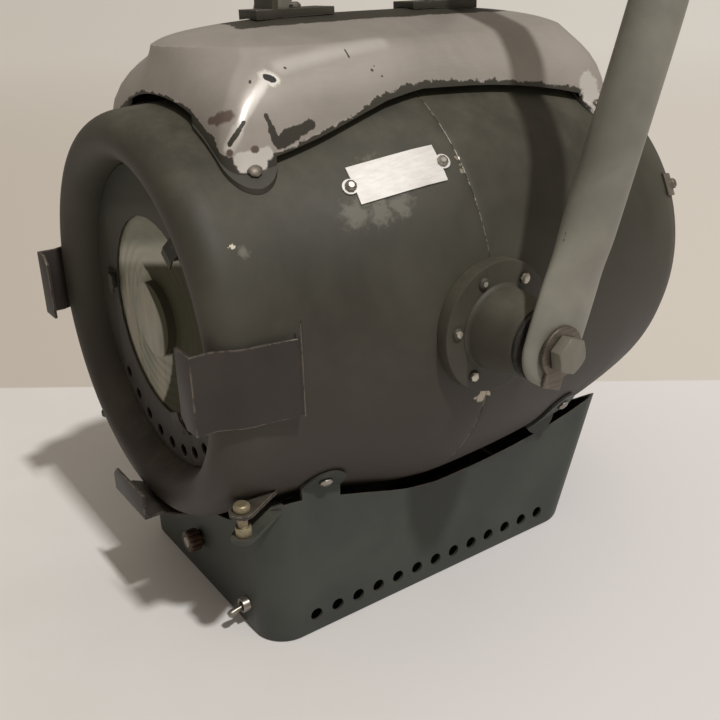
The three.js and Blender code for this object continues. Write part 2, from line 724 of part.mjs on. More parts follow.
// A small tab on the plate that laps over the lens, with its screw head
function lensClip(turn) {
  const tail = LENS_WINDOW_RADIUS - CLIP_REACH;
  const clear = LENS_STEP_RISE + FIT;
  const sideways = CLIP_WIDTH / 2;
  const foot = LENS_WINDOW_RADIUS + 1.5 * CLIP_WALL;
  const outline = shapeOf([
    [tail, clear],
    [foot, clear],
    [foot, FIT],
    [tail + CLIP_LENGTH, FIT],
    [tail + CLIP_LENGTH, FIT + CLIP_WALL],
    [foot - CLIP_WALL, FIT + CLIP_WALL + clear - FIT],
    [tail, clear + CLIP_WALL],
  ]);
  const strip = extruded(outline, CLIP_WIDTH).translate(0, 0, -sideways);
  const head = screwHead(CLIP_HEAD_RADIUS, CLIP_HEAD_RISE, CLIP_WALL / 2).rotateX(-TURN / 4);
  const seat = tail + CLIP_LENGTH - CLIP_HEAD_RADIUS - CLIP_WALL;
  const screw = moved(head, seat, FIT + CLIP_WALL, 0);
  const both = toSolid(strip).add(toSolid(screw));
  const placed = toGeometry(both).rotateX(Math.PI).translate(0, plateFront, 0).rotateY(-turn);
  return toSolid(placed);
}

// An accessory bracket in the plane of its strip: [distance from the axis, y], from lip to tail
function bracketOutline() {
  const lipFront = -FRONT_LENGTH - ROLL_DEPTH - BRACKET_SLOT - BRACKET_WALL;
  const tailStart = barrelRadius(-FRONT_LENGTH) + FIT;
  const tailEnd = barrelRadius(-FRONT_LENGTH + BRACKET_TAIL) + FIT + BRACKET_TAIL_RISE;
  const tailY = -FRONT_LENGTH + BRACKET_TAIL;
  const outerRadius = BRACKET_RADIUS + BRACKET_WALL;
  const overRoll = rollPoints(-FIT - BRACKET_WALL).filter(([radius, y]) => radius > outerRadius && y < -FRONT_LENGTH);
  const underRoll = rollPoints(-FIT).filter(([radius, y]) => radius > BRACKET_RADIUS && y < -FRONT_LENGTH);
  return [
    [BRACKET_RADIUS - BRACKET_LIP, lipFront],
    [outerRadius, lipFront],
    ...overRoll.reverse(),
    [tailStart + BRACKET_WALL, -FRONT_LENGTH],
    [tailEnd + BRACKET_WALL, tailY],
    [tailEnd + BRACKET_WALL + BRACKET_FLARE, tailY + BRACKET_FLARE_REACH],
    [tailEnd + BRACKET_FLARE, tailY + BRACKET_FLARE_REACH + BRACKET_WALL],
    [tailEnd, tailY + BRACKET_WALL / 2],
    [tailStart, -FRONT_LENGTH],
    ...underRoll,
    [BRACKET_RADIUS, -FRONT_LENGTH - ROLL_DEPTH],
    [BRACKET_RADIUS, lipFront + BRACKET_WALL],
    [BRACKET_RADIUS - BRACKET_LIP, lipFront + BRACKET_WALL],
  ];
}

function bracket(width) {
  const strip = toSolid(moved(extruded(shapeOf(bracketOutline()), width), 0, 0, -width / 2));
  const corner = BRACKET_RADIUS - BRACKET_LIP;
  const front = -FRONT_LENGTH - ROLL_DEPTH - BRACKET_SLOT;
  let cut = strip;
  for (const side of [-1, 1]) {
    const notch = shapeOf([
      [corner - OVERRUN, side * (width / 2 + OVERRUN)],
      [corner - OVERRUN, side * (width / 2 - BRACKET_CORNER_CUT - OVERRUN)],
      [corner, side * (width / 2 - BRACKET_CORNER_CUT)],
      [corner + BRACKET_CORNER_CUT, side * width / 2],
      [corner + BRACKET_CORNER_CUT + OVERRUN, side * (width / 2 + OVERRUN)],
    ]);
    const tool = extruded(notch, 2 * BRACKET_WALL).rotateX(TURN / 4).translate(0, front, 0);
    cut = cut.subtract(toSolid(tool));
  }
  return cut;
}

// The hub's saddle: a disc that is cut to sit on the barrel, with its ring of screws
function hubFlange() {
  const root = HUB_FACE - HUB_ROOT_DEPTH;
  const profile = [
    [BOLT_RADIUS + FIT, root],
    [HUB_RADIUS, root],
    [HUB_RADIUS, HUB_FACE - HUB_EDGE_ROUND],
    [HUB_RADIUS - HUB_EDGE_ROUND, HUB_FACE],
    [BOLT_RADIUS + FIT, HUB_FACE],
    [BOLT_RADIUS + FIT, root],
  ];
  const lathe = latheGeometry(profile, ROUND_SEGMENTS).rotateZ(-TURN / 4);
  let flange = toSolid(moved(lathe, 0, 0, PIVOT_RISE)).subtract(barrelWithFit);
  for (let i = 0; i < HUB_SCREW_COUNT; i += 1) {
    const angle = TURN * i / HUB_SCREW_COUNT;
    const y = HUB_SCREW_CIRCLE * Math.cos(angle);
    const z = PIVOT_RISE + HUB_SCREW_CIRCLE * Math.sin(angle);
    const head = screwHead(HUB_SCREW_HEAD, HUB_SCREW_RISE, HUB_EDGE_ROUND).rotateY(TURN / 4);
    flange = flange.add(toSolid(moved(head, HUB_FACE, y, z)));
  }
  return flange;
}

// The turned boss that carries the yoke's arm
function hubBoss() {
  const foot = HUB_FACE + FIT;
  const profile = [
    [BOLT_RADIUS + FIT, foot],
    [BOSS_ROOT_RADIUS, foot],
    [BOSS_ROOT_RADIUS, foot + BOSS_ROUND],
    [BOSS_ROOT_RADIUS - BOSS_ROUND, foot + 2 * BOSS_ROUND],
    [BOSS_TIP_RADIUS, BOSS_FACE - BOSS_ROUND],
    [BOSS_TIP_RADIUS - BOSS_ROUND / 2, BOSS_FACE],
    [BOLT_RADIUS + FIT, BOSS_FACE],
    [BOLT_RADIUS + FIT, foot],
  ];
  return spunAboutX(profile, ROUND_SEGMENTS);
}

function frictionWasher() {
  const from = BOSS_FACE + FIT;
  return spunAboutX(tube(BOLT_RADIUS + FIT, FRICTION_RADIUS, from, from + FRICTION_WALL - FIT), ROUND_SEGMENTS);
}

const armInner = BOSS_FACE + FRICTION_WALL + FIT;
const armOuter = armInner + YOKE_FLAT_THICKNESS;
const washerFace = armOuter + FIT + WASHER_WALL;

// The outer washer with the tongue that is bent over the arm's end
function tabWasher() {
  const from = armOuter + FIT;
  const disc = spunAboutX(tube(BOLT_RADIUS + FIT, WASHER_RADIUS, from, washerFace), ROUND_SEGMENTS);
  const middle = from + WASHER_WALL / 2;
  const length = WASHER_TAB_LENGTH - WASHER_RADIUS / 2;
  const tongue = block(WASHER_WALL, WASHER_TAB_WIDTH, length, middle, 0, -(WASHER_RADIUS / 2 + length / 2));
  return disc.add(tongue);
}

// The hexagonal pivot bolt with its shank down to the nut inside the barrel
function pivotBolt() {
  const headFrom = washerFace + FIT;
  const head = extrudedAlongX(shapeOf(hexPoints(BOLT_HEAD_FLAT)), headFrom, BOLT_HEAD_HEIGHT);
  const innerEnd = BARREL_RADIUS - SHELL_WALL - SEAM_BAND_WALL - NUT_HEIGHT - OVERRUN;
  const chamfer = spunAboutX([
    [0, headFrom - OVERRUN],
    [BOLT_HEAD_FLAT, headFrom - OVERRUN],
    [BOLT_HEAD_FLAT, headFrom + BOLT_HEAD_HEIGHT / 3],
    [BOLT_HEAD_FLAT / 2 - FIT, headFrom + BOLT_HEAD_HEIGHT],
    [0, headFrom + BOLT_HEAD_HEIGHT],
  ], ROUND_SEGMENTS);
  const shank = spunAboutX(rod(BOLT_RADIUS, innerEnd, headFrom + FIT), SMALL_SEGMENTS);
  return head.intersect(chamfer).add(shank);
}

function pivotNut() {
  const inner = BARREL_RADIUS - SHELL_WALL - SEAM_BAND_WALL - NUT_HEIGHT - NUT_STANDOFF;
  const nut = extrudedAlongX(shapeOf(hexPoints(NUT_FLAT)), inner, NUT_HEIGHT);
  const bore = spunAboutX(rod(BOLT_RADIUS + FIT, inner - OVERRUN, inner + NUT_HEIGHT + OVERRUN), SMALL_SEGMENTS);
  return nut.subtract(bore);
}

// One ring of the yoke's section: half the width, half the thickness and how square its corners are
function yokeRing(centre, along, halfWidth, halfThickness, power) {
  const across = new THREE.Vector3(0, 1, 0);
  const outwards = new THREE.Vector3().crossVectors(across, along).normalize();
  const ring = [];
  for (let i = 0; i < YOKE_RING_POINTS; i += 1) {
    const angle = TURN * (i + 0.5) / YOKE_RING_POINTS;
    const c = Math.cos(angle);
    const s = Math.sin(angle);
    const w = Math.sign(c) * Math.abs(c) ** (2 / power) * halfWidth;
    const t = Math.sign(s) * Math.abs(s) ** (2 / power) * halfThickness;
    ring.push(centre.clone().addScaledVector(across, w).addScaledVector(outwards, t));
  }
  return ring;
}

// Half of the yoke's rings, from the rounded end of one arm up to the middle of the crossbar. The
// inner skin is drawn in by the wall and begins where the flattened end opens out.
function yokeHalfRings(side, inset) {
  const rings = [];
  const flatHalf = YOKE_FLAT_WIDTH / 2;
  const flatX = (armInner + armOuter) / 2;
  const round = { width: YOKE_TUBE_RADIUS, thickness: YOKE_TUBE_RADIUS, power: 2 };
  const flat = { width: flatHalf, thickness: YOKE_FLAT_THICKNESS / 2, power: 5 };
  const put = (x, z, along, section) => {
    const centre = new THREE.Vector3(side * x, 0, z);
    rings.push(yokeRing(centre, along, section.width - inset, section.thickness - inset, section.power));
  };
  const mix = (a, b, share) => a + (b - a) * share;
  const between = (share) => ({
    width: mix(flat.width, round.width, share),
    thickness: mix(flat.thickness, round.thickness, share),
    power: mix(flat.power, round.power, share),
  });
  const up = new THREE.Vector3(0, 0, side);
  if (inset === 0) {
    for (let i = 1; i <= QUARTER_STEPS; i += 1) {
      const angle = TURN / 4 * i / QUARTER_STEPS;
      put(flatX, -flatHalf * Math.cos(angle), up, { ...flat, width: flatHalf * Math.sin(angle) });
    }
    put(flatX, YOKE_FLAT_REACH, up, flat);
  }
  for (let i = 1; i <= QUARTER_STEPS; i += 1) {
    const share = i / QUARTER_STEPS;
    const ease = (1 - Math.cos(Math.PI * share)) / 2;
    put(flatX, YOKE_FLAT_REACH + YOKE_BLEND * share, up, between(ease));
  }
  for (let i = 0; i <= YOKE_BEND_STEPS; i += 1) {
    const angle = TURN / 4 * i / YOKE_BEND_STEPS;
    const x = flatX - YOKE_BEND_RADIUS * (1 - Math.cos(angle));
    const z = YOKE_HEIGHT - YOKE_BEND_RADIUS * (1 - Math.sin(angle));
    put(x, z, new THREE.Vector3(-Math.sin(angle), 0, side * Math.cos(angle)), round);
  }
  const level = new THREE.Vector3(-1, 0, 0);
  const saddle = YOKE_SADDLE_LENGTH / 2;
  put(saddle + YOKE_BLEND, YOKE_HEIGHT, level, round);
  put(saddle + YOKE_BLEND / 2, YOKE_HEIGHT, level, between(1 / 2));
  put(saddle, YOKE_HEIGHT, level, flat);
  return rings;
}

function yokeSkin(inset) {
  return loft([...yokeHalfRings(1, inset), ...yokeHalfRings(-1, inset).reverse()]);
}

// The bent tube with flattened ends and a flat saddle in the middle, upright about its pivot
function yoke() {
  let bar = yokeSkin(0).subtract(yokeSkin(YOKE_TUBE_WALL));
  for (const side of [-1, 1]) {
    const from = Math.min(side * (armInner - OVERRUN), side * (armOuter + OVERRUN));
    const length = YOKE_FLAT_THICKNESS + 2 * OVERRUN;
    bar = bar.subtract(spunAboutX(rod(BOLT_RADIUS + FIT, from, from + length), SMALL_SEGMENTS));
  }
  const hole = rod(YOKE_SADDLE_HOLE_RADIUS, YOKE_HEIGHT - YOKE_TUBE_RADIUS, YOKE_HEIGHT + YOKE_TUBE_RADIUS);
  return bar.subtract(spunAboutZ(hole, SMALL_SEGMENTS));
}

// The cap's outline at a height: a rounded rectangle, squarer with a higher power
function capRing(halfWidth, halfLength, z, power) {
  const ring = [];
  for (let i = 0; i < CAP_OUTLINE_POINTS; i += 1) {
    const angle = TURN * i / CAP_OUTLINE_POINTS;
    const c = Math.cos(angle);
    const s = Math.sin(angle);
    const x = Math.sign(c) * Math.abs(c) ** (2 / power) * halfWidth;
    const y = Math.sign(s) * Math.abs(s) ** (2 / power) * halfLength;
    ring.push(new THREE.Vector3(x, CAP_CENTRE + y, z));
  }
  return ring;
}

// The cap's outer or inner skin, closed at the top and open-ended below the barrel's surface
function capSkin(inset) {
  const rings = [];
  const mix = (a, b, share) => a + (b - a) * share;
  const flare = (CAP_HALF_WIDTH - CAP_RIDGE_HALF_WIDTH) / (CAP_RIDGE_HEIGHT - CAP_EDGE_HEIGHT);
  const skirtFlare = flare * CAP_SKIRT / 8;
  rings.push(capRing(CAP_HALF_WIDTH + skirtFlare - inset, CAP_HALF_LENGTH + skirtFlare - inset,
    CAP_EDGE_HEIGHT - CAP_SKIRT, CAP_EDGE_POWER));
  for (const [out, up] of CAP_SIDE_SHARES) {
    rings.push(capRing(
      mix(CAP_HALF_WIDTH, CAP_RIDGE_HALF_WIDTH, out) - inset,
      mix(CAP_HALF_LENGTH, CAP_RIDGE_HALF_LENGTH, out) - inset,
      mix(CAP_EDGE_HEIGHT, CAP_RIDGE_HEIGHT, up) - inset * up,
      mix(CAP_EDGE_POWER, CAP_RIDGE_POWER, up),
    ));
  }
  for (const [inwards, up] of CAP_TOP_SHARES) {
    rings.push(capRing(
      (CAP_RIDGE_HALF_WIDTH - inset) * (1 - inwards),
      (CAP_RIDGE_HALF_LENGTH - inset) * (1 - inwards ** 3 * CAP_CROWN_TAPER_SHARE),
      mix(CAP_RIDGE_HEIGHT, CAP_CROWN_HEIGHT, up) - inset,
      CAP_RIDGE_POWER,
    ));
  }
  return loft(rings);
}

// A tongue seen from above, from inside the cap's side out to its round tip
function tabPrism(place, side) {
  const half = CAP_TAB_WIDTH / 2;
  const outline = new THREE.Shape();
  outline.absarc(0, 0, half, -TURN / 4, TURN / 4, false);
  outline.lineTo(-CAP_TAB_REACH, half);
  outline.lineTo(-CAP_TAB_REACH, -half);
  const geometry = moved(extruded(outline, BARREL_RADIUS), CAP_TAB_TIP - half, place, 0);
  return toSolid(geometry.scale(side, 1, 1));
}

function capTabs() {
  let tabs = null;
  for (const side of [-1, 1]) {
    const front = tabPrism(-CAP_TAB_FRONT, side);
    const rear = tabPrism(CAP_TAB_REAR, side);
    tabs = tabs === null ? front.add(rear) : tabs.add(front).add(rear);
  }
  return tabs;
}

// The pressed hood over the barrel's top vent: a gap all round and four corner tongues on the barrel
function ventCap() {
  const hood = capSkin(0).subtract(capSkin(CAP_WALL));
  const tabs = capTabs();
  const raised = hood.subtract(barrelSolid(CAP_GAP));
  const corners = hood.intersect(tabs).subtract(barrelWithFit);
  const feet = barrelLayer(CAP_TAB_WALL).intersect(tabs);
  return raised.add(corners).add(feet);
}

// A screw head standing square on the barrel at a point given by x and y, above or below the axis
function screwOnBarrel(x, y, above, lift, radius, rise, root = 0) {
  const surface = barrelRadius(y);
  const z = above * Math.sqrt(surface * surface - x * x);
  const slope = (barrelRadius(y + 1) - barrelRadius(y - 1)) / 2;
  const normal = new THREE.Vector3(x / surface, -slope, z / surface).normalize();
  const head = screwHead(radius, rise, root);
  const turn = new THREE.Quaternion().setFromUnitVectors(new THREE.Vector3(0, 0, 1), normal);
  head.applyQuaternion(turn);
  const base = new THREE.Vector3(x, y, z).addScaledVector(normal, lift);
  return head.translate(base.x, base.y, base.z);
}

function capScrew(side, place) {
  const lift = CAP_TAB_WALL + 2 * FIT;
  return screwOnBarrel(side * (CAP_TAB_TIP - CAP_SCREW_INSET), place, 1, lift, SCREW_HEAD_RADIUS, SCREW_HEAD_RISE);
}

// The strap handle, drawn from the side; its long feet follow the cap's crown
function handle() {
  const half = HANDLE_LENGTH / 2;
  const foot = half + HANDLE_TOE;
  const heel = half - HANDLE_HEEL;
  const base = CAP_CROWN_HEIGHT - HANDLE_SINK;
  const pad = CAP_CROWN_HEIGHT + HANDLE_WALL;
  const top = CAP_CROWN_HEIGHT + HANDLE_RISE;
  const bend = HANDLE_BEND - HANDLE_WALL;
  const outline = new THREE.Shape();
  outline.moveTo(-foot, base);
  outline.lineTo(-foot, pad);
  outline.lineTo(-half, pad);
  outline.lineTo(-half, top - HANDLE_BEND);
  outline.absarc(-half + HANDLE_BEND, top - HANDLE_BEND, HANDLE_BEND, TURN / 2, TURN / 4, true);
  outline.absarc(half - HANDLE_BEND, top - HANDLE_BEND, HANDLE_BEND, TURN / 4, 0, true);
  outline.lineTo(half, pad);
  outline.lineTo(foot, pad);
  outline.lineTo(foot, base);
  outline.lineTo(heel, base);
  outline.lineTo(heel, pad);
  outline.lineTo(half - HANDLE_WALL, pad);
  outline.absarc(half - HANDLE_BEND, top - HANDLE_BEND, bend, 0, TURN / 4, false);
  outline.absarc(-half + HANDLE_BEND, top - HANDLE_BEND, bend, TURN / 4, TURN / 2, false);
  outline.lineTo(-half + HANDLE_WALL, pad);
  outline.lineTo(-heel, pad);
  outline.lineTo(-heel, base);
  const strap = toGeometry(extrudedAlongX(outline, -HANDLE_WIDTH / 2, HANDLE_WIDTH));
  return toSolid(moved(strap, 0, HANDLE_CENTRE, 0)).subtract(capSkin(-FIT));
}

// The base box's outline in plan, as points, at a height above the ground
function baseOutline(height, inset) {
  const share = height / BASE_FLARE_HEIGHT;
  const x = BASE_HALF_WIDTH - inset;
  const front = inset - BASE_FRONT;
  const rear = BASE_REAR + BASE_REAR_FLARE * share - inset;
  const points = [];
  const corner = (cx, cy, radius, from) => {
    for (let i = 0; i <= QUARTER_STEPS; i += 1) {
      const angle = from + TURN / 4 * i / QUARTER_STEPS;
      points.push(new THREE.Vector3(cx + radius * Math.cos(angle), cy + radius * Math.sin(angle),
        height - AXIS_HEIGHT));
    }
  };
  const frontRadius = BASE_FRONT_CORNER - inset;
  const rearRadius = BASE_REAR_CORNER - inset;
  corner(x - rearRadius, rear - rearRadius, rearRadius, 0);
  corner(-x + rearRadius, rear - rearRadius, rearRadius, TURN / 4);
  corner(-x + frontRadius, front + frontRadius, frontRadius, TURN / 2);
  corner(x - frontRadius, front + frontRadius, frontRadius, 3 * TURN / 4);
  return points;
}

function baseWalls() {
  const top = AXIS_HEIGHT - BASE_TOP;
  const outer = loft([baseOutline(0, 0), baseOutline(top, 0)]);
  const inner = loft([baseOutline(BASE_WALL, BASE_WALL), baseOutline(top + OVERRUN, BASE_WALL)]);
  return outer.subtract(inner);
}

function lugOutline(place) {
  const half = LUG_WIDTH / 2;
  const outline = new THREE.Shape();
  outline.moveTo(place - half, -LUG_FOOT);
  outline.lineTo(place + half, -LUG_FOOT);
  outline.lineTo(place + half, -LUG_TOP - half);
  outline.absarc(place, -LUG_TOP - half, half, 0, Math.PI, false);
  return outline;
}

// Four tongues that rise from the box's edge and lie on the barrel's side
function lugPrisms() {
  let all = null;
  for (const place of [-LUG_FRONT_PLACE, LUG_REAR_PLACE]) {
    const prism = extrudedAlongX(lugOutline(place), -BARREL_RADIUS, 2 * BARREL_RADIUS);
    all = all === null ? prism : all.add(prism);
  }
  return all;
}

function baseHoles() {
  let holes = null;
  for (let i = 0; i < BASE_HOLE_COUNT; i += 1) {
    const y = (i - (BASE_HOLE_COUNT - 1) / 2) * BASE_HOLE_PITCH;
    const reach = BASE_HALF_WIDTH + OVERRUN;
    const geometry = latheGeometry(rod(BASE_HOLE_RADIUS, -reach, reach), HOLE_SEGMENTS).rotateZ(-TURN / 4);
    const hole = toSolid(moved(geometry, 0, y, BASE_HOLE_HEIGHT - AXIS_HEIGHT));
    holes = holes === null ? hole : holes.add(hole);
  }
  return holes;
}

// Round holes through the box's front and rear for the focus shaft, the switch and the gland
function baseEndHole(x, height, radius, end) {
  const reach = BASE_FRONT + BASE_REAR;
  const from = end < 0 ? -reach : BASE_REAR / 2;
  const to = end < 0 ? -BASE_FRONT / 2 : reach;
  const geometry = latheGeometry(rod(radius, from, to), SMALL_SEGMENTS);
  return toSolid(moved(geometry, x, 0, height - AXIS_HEIGHT));
}

function baseBox() {
  const walls = baseWalls();
  const prisms = lugPrisms();
  const box = walls.subtract(barrelSolid(BASE_GAP));
  const rises = walls.intersect(prisms).subtract(barrelWithFit);
  const inside = block(2 * (BASE_HALF_WIDTH - BASE_WALL), 2 * BARREL_RADIUS, 2 * BARREL_RADIUS, 0, 0, 0);
  const tongues = barrelLayer(LUG_WALL).intersect(prisms).subtract(inside);
  return box.add(rises).add(tongues)
    .subtract(baseHoles())
    .subtract(baseEndHole(0, KNOB_HEIGHT, BUSH_RADIUS - BUSH_WALL + FIT, -1))
    .subtract(baseEndHole(SWITCH_X, SWITCH_HEIGHT, SWITCH_NECK_RADIUS + FIT, -1))
    .subtract(baseEndHole(GLAND_X, GLAND_HEIGHT, GLAND_THREAD_RADIUS + FIT, 1))
    .add(baseEars());
}

// The leaning rear wall's place at a height above the ground
function baseRearAt(height) {
  return BASE_REAR + BASE_REAR_FLARE * height / BASE_FLARE_HEIGHT;
}

// A round-ended ear about the latch bolt, reaching inwards to the sheet it grows from
function latchEar(reach, top, side) {
  const half = LATCH_EAR_WIDTH / 2;
  const outline = new THREE.Shape();
  outline.absarc(0, 0, half, -TURN / 4, TURN / 4, false);
  outline.lineTo(-reach, half);
  outline.lineTo(-reach, -half);
  const geometry = extruded(outline, LATCH_EAR_WALL).rotateZ(-TURN * LATCH_EAR_TURN_SHARE);
  geometry.translate(LATCH_X, -LATCH_Y, top - LATCH_EAR_WALL);
  const hole = latheGeometry(rod(LATCH_SHANK_RADIUS + FIT, -LATCH_BOTTOM, -LATCH_TOP), HOLE_SEGMENTS);
  const ear = toSolid(geometry).subtract(toSolid(moved(hole.rotateX(TURN / 4), LATCH_X, -LATCH_Y, 0)));
  return toSolid(toGeometry(ear).scale(side, 1, 1));
}

// Ears on the front rim's sides, under the bolt heads
function shellEars() {
  const top = -LATCH_TOP - LATCH_HEAD_HEIGHT - FIT;
  return latchEar(LATCH_SHELL_EAR_REACH, top, 1).add(latchEar(LATCH_SHELL_EAR_REACH, top, -1));
}

// Ears on the base box's front corners, under the nuts
const latchSeat = -LATCH_BOTTOM + LATCH_END + LATCH_EAR_WALL;

function baseEars() {
  return latchEar(LATCH_BASE_EAR_REACH, latchSeat, 1).add(latchEar(LATCH_BASE_EAR_REACH, latchSeat, -1));
}

function latchBolt() {
  const nut = latchSeat + FIT;
  const profile = [
    [0, -LATCH_BOTTOM],
    [LATCH_SHANK_RADIUS, -LATCH_BOTTOM],
    [LATCH_SHANK_RADIUS, nut],
    [LATCH_NUT_RADIUS, nut],
    [LATCH_NUT_RADIUS, nut + LATCH_NUT_HEIGHT],
    [LATCH_SHANK_RADIUS, nut + LATCH_NUT_HEIGHT],
    [LATCH_SHANK_RADIUS, -LATCH_TOP - LATCH_HEAD_HEIGHT],
    [LATCH_HEAD_RADIUS, -LATCH_TOP - LATCH_HEAD_HEIGHT],
    [LATCH_HEAD_RADIUS, -LATCH_TOP - LATCH_HEAD_HEIGHT / 4],
    [LATCH_HEAD_RADIUS * LATCH_CROWN_SHARE, -LATCH_TOP],
    [0, -LATCH_TOP],
  ];
  return spunAboutZ(profile, SMALL_SEGMENTS);
}

const focusLine = KNOB_HEIGHT - AXIS_HEIGHT;

// The fluted knob in front of the base
function focusKnob() {
  const back = -BASE_FRONT - KNOB_STANDOFF;
  const front = back - KNOB_LENGTH;
  const profile = [
    [SCREW_RADIUS + FIT, back],
    [KNOB_RADIUS * KNOB_HEEL_SHARE, back],
    [KNOB_RADIUS, back - KNOB_LENGTH / 4],
    [KNOB_RADIUS, front + KNOB_LENGTH / 8],
    [KNOB_RADIUS * KNOB_FACE_SHARE, front],
    [SCREW_RADIUS + FIT, front],
    [SCREW_RADIUS + FIT, back],
  ];
  let knob = spunAboutY(profile, ROUND_SEGMENTS);
  for (let i = 0; i < KNOB_FLUTE_COUNT; i += 1) {
    const angle = TURN * i / KNOB_FLUTE_COUNT;
    const flute = latheGeometry(rod(KNOB_FLUTE_RADIUS, front - OVERRUN, back + OVERRUN), HEX_SEGMENTS);
    knob = knob.subtract(toSolid(moved(flute, KNOB_RADIUS * Math.cos(angle), 0, KNOB_RADIUS * Math.sin(angle))));
  }
  return knob;
}

// The shaft with the lead screw's collar behind the front wall
function focusScrew() {
  const front = -BASE_FRONT - KNOB_STANDOFF - KNOB_LENGTH;
  const collar = -BASE_FRONT + BASE_WALL + BUSH_WALL + 2 * OVERRUN;
  const profile = [
    [0, front],
    [SCREW_RADIUS, front],
    [SCREW_RADIUS, collar],
    [BUSH_RADIUS - FIT, collar],
    [BUSH_RADIUS - FIT, collar + BUSH_WALL],
    [SCREW_RADIUS, collar + BUSH_WALL],
    [SCREW_RADIUS, SCREW_REAR],
    [0, SCREW_REAR],
  ];
  return spunAboutY(profile, SMALL_SEGMENTS);
}

// A cross frame that holds the ends of the guide rods and of the lead screw
function railEnd(y) {
  const width = 2 * ROD_SPREAD + BEARING_WIDTH;
  const floor = BASE_WALL + FIT - AXIS_HEIGHT;
  const top = focusLine + RAIL_END_HEIGHT / 2;
  const wall = block(width, RAIL_END_WALL, top - floor, 0, y, (top + floor) / 2);
  const foot = block(width, BEARING_WIDTH, RAIL_END_WALL, 0, y, floor + RAIL_END_WALL / 2);
  let end = wall.add(foot);
  for (const [x, radius] of [[-ROD_SPREAD, ROD_RADIUS], [0, SCREW_RADIUS], [ROD_SPREAD, ROD_RADIUS]]) {
    const geometry = latheGeometry(rod(radius + FIT, y - BEARING_WIDTH, y + BEARING_WIDTH), SMALL_SEGMENTS);
    end = end.subtract(toSolid(moved(geometry, x, 0, focusLine)));
  }
  return end;
}

function guideRod() {
  return spunAboutY(rod(ROD_RADIUS, -ROD_FRONT, ROD_REAR), SMALL_SEGMENTS);
}

const carriageTop = focusLine + CARRIAGE_BLOCK / 2 + CARRIAGE_WALL;

// The carriage: a plate on three blocks, with the stem that lifts the lamp into the barrel
function lampCarriage() {
  const plate = block(CARRIAGE_WIDTH, CARRIAGE_LENGTH, CARRIAGE_WALL, 0, -LAMP_PLACE, carriageTop - CARRIAGE_WALL / 2);
  let carriage = plate;
  for (const x of [-ROD_SPREAD, 0, ROD_SPREAD]) {
    carriage = carriage.add(block(CARRIAGE_BLOCK, CARRIAGE_LENGTH, CARRIAGE_BLOCK, x, -LAMP_PLACE, focusLine));
  }
  const bores = [[-ROD_SPREAD, ROD_RADIUS], [0, SCREW_RADIUS], [ROD_SPREAD, ROD_RADIUS]];
  for (const [x, radius] of bores) {
    const from = -LAMP_PLACE - CARRIAGE_LENGTH;
    const to = -LAMP_PLACE + CARRIAGE_LENGTH;
    const geometry = latheGeometry(rod(radius + FIT, from, to), SMALL_SEGMENTS);
    carriage = carriage.subtract(toSolid(moved(geometry, x, 0, focusLine)));
  }
  const stemTop = -SOCKET_DEPTH;
  const stem = block(STEM_WIDTH, STEM_WALL, stemTop - carriageTop, 0, -LAMP_PLACE, (stemTop + carriageTop) / 2);
  const rear = -LAMP_PLACE + REFLECTOR_RADIUS + REFLECTOR_WALL;
  const armBottom = carriageTop;
  const reach = rear + FIT + REFLECTOR_ARM_WALL + LAMP_PLACE;
  const shelf = block(REFLECTOR_ARM_WIDTH, reach, CARRIAGE_WALL,
    0, -LAMP_PLACE + reach / 2, carriageTop + CARRIAGE_WALL / 2 - FIT);
  const arm = block(REFLECTOR_ARM_WIDTH, REFLECTOR_ARM_WALL, -armBottom + REFLECTOR_ARM_WIDTH / 2,
    0, rear + FIT + REFLECTOR_ARM_WALL / 2, (armBottom + REFLECTOR_ARM_WIDTH / 2) / 2);
  return carriage.add(stem).add(shelf).add(arm);
}

function lampSocket() {
  const bottom = -SOCKET_DEPTH + FIT;
  const profile = [
    [0, bottom],
    [SOCKET_RADIUS * SOCKET_FOOT_SHARE, bottom],
    [SOCKET_RADIUS, bottom + SOCKET_HEIGHT / 4],
    [SOCKET_RADIUS, bottom + SOCKET_HEIGHT],
    [LAMP_CAP_RADIUS + FIT, bottom + SOCKET_HEIGHT],
    [LAMP_CAP_RADIUS + FIT, bottom + SOCKET_HEIGHT - LAMP_CAP_HEIGHT],
    [0, bottom + SOCKET_HEIGHT - LAMP_CAP_HEIGHT],
  ];
  return spunAboutZ(profile, ROUND_SEGMENTS);
}

// The lamp's metal cap, seated in the socket
function lampCap() {
  const bottom = -SOCKET_DEPTH + SOCKET_HEIGHT - LAMP_CAP_HEIGHT + 2 * FIT;
  const top = bottom + LAMP_CAP_HEIGHT + BUSH_WALL;
  return spunAboutZ([[0, bottom], [LAMP_CAP_RADIUS, bottom], [LAMP_CAP_RADIUS, top], [0, top]], ROUND_SEGMENTS);
}

// The tubular glass bulb with its domed top
function lampBulb() {
  const bottom = -SOCKET_DEPTH + SOCKET_HEIGHT + BUSH_WALL + 3 * FIT;
  const profile = [[0, bottom], [BULB_NECK_RADIUS, bottom], [BULB_NECK_RADIUS, bottom + BULB_NECK_RADIUS]];
  profile.push([BULB_RADIUS, bottom + 2 * BULB_NECK_RADIUS]);
  for (let i = 0; i < QUARTER_STEPS; i += 1) {
    const angle = TURN / 4 * i / QUARTER_STEPS;
    profile.push([BULB_RADIUS * Math.cos(angle), BULB_TOP - BULB_RADIUS + BULB_RADIUS * Math.sin(angle)]);
  }
  profile.push([0, BULB_TOP]);
  return spunAboutZ(profile, ROUND_SEGMENTS);
}

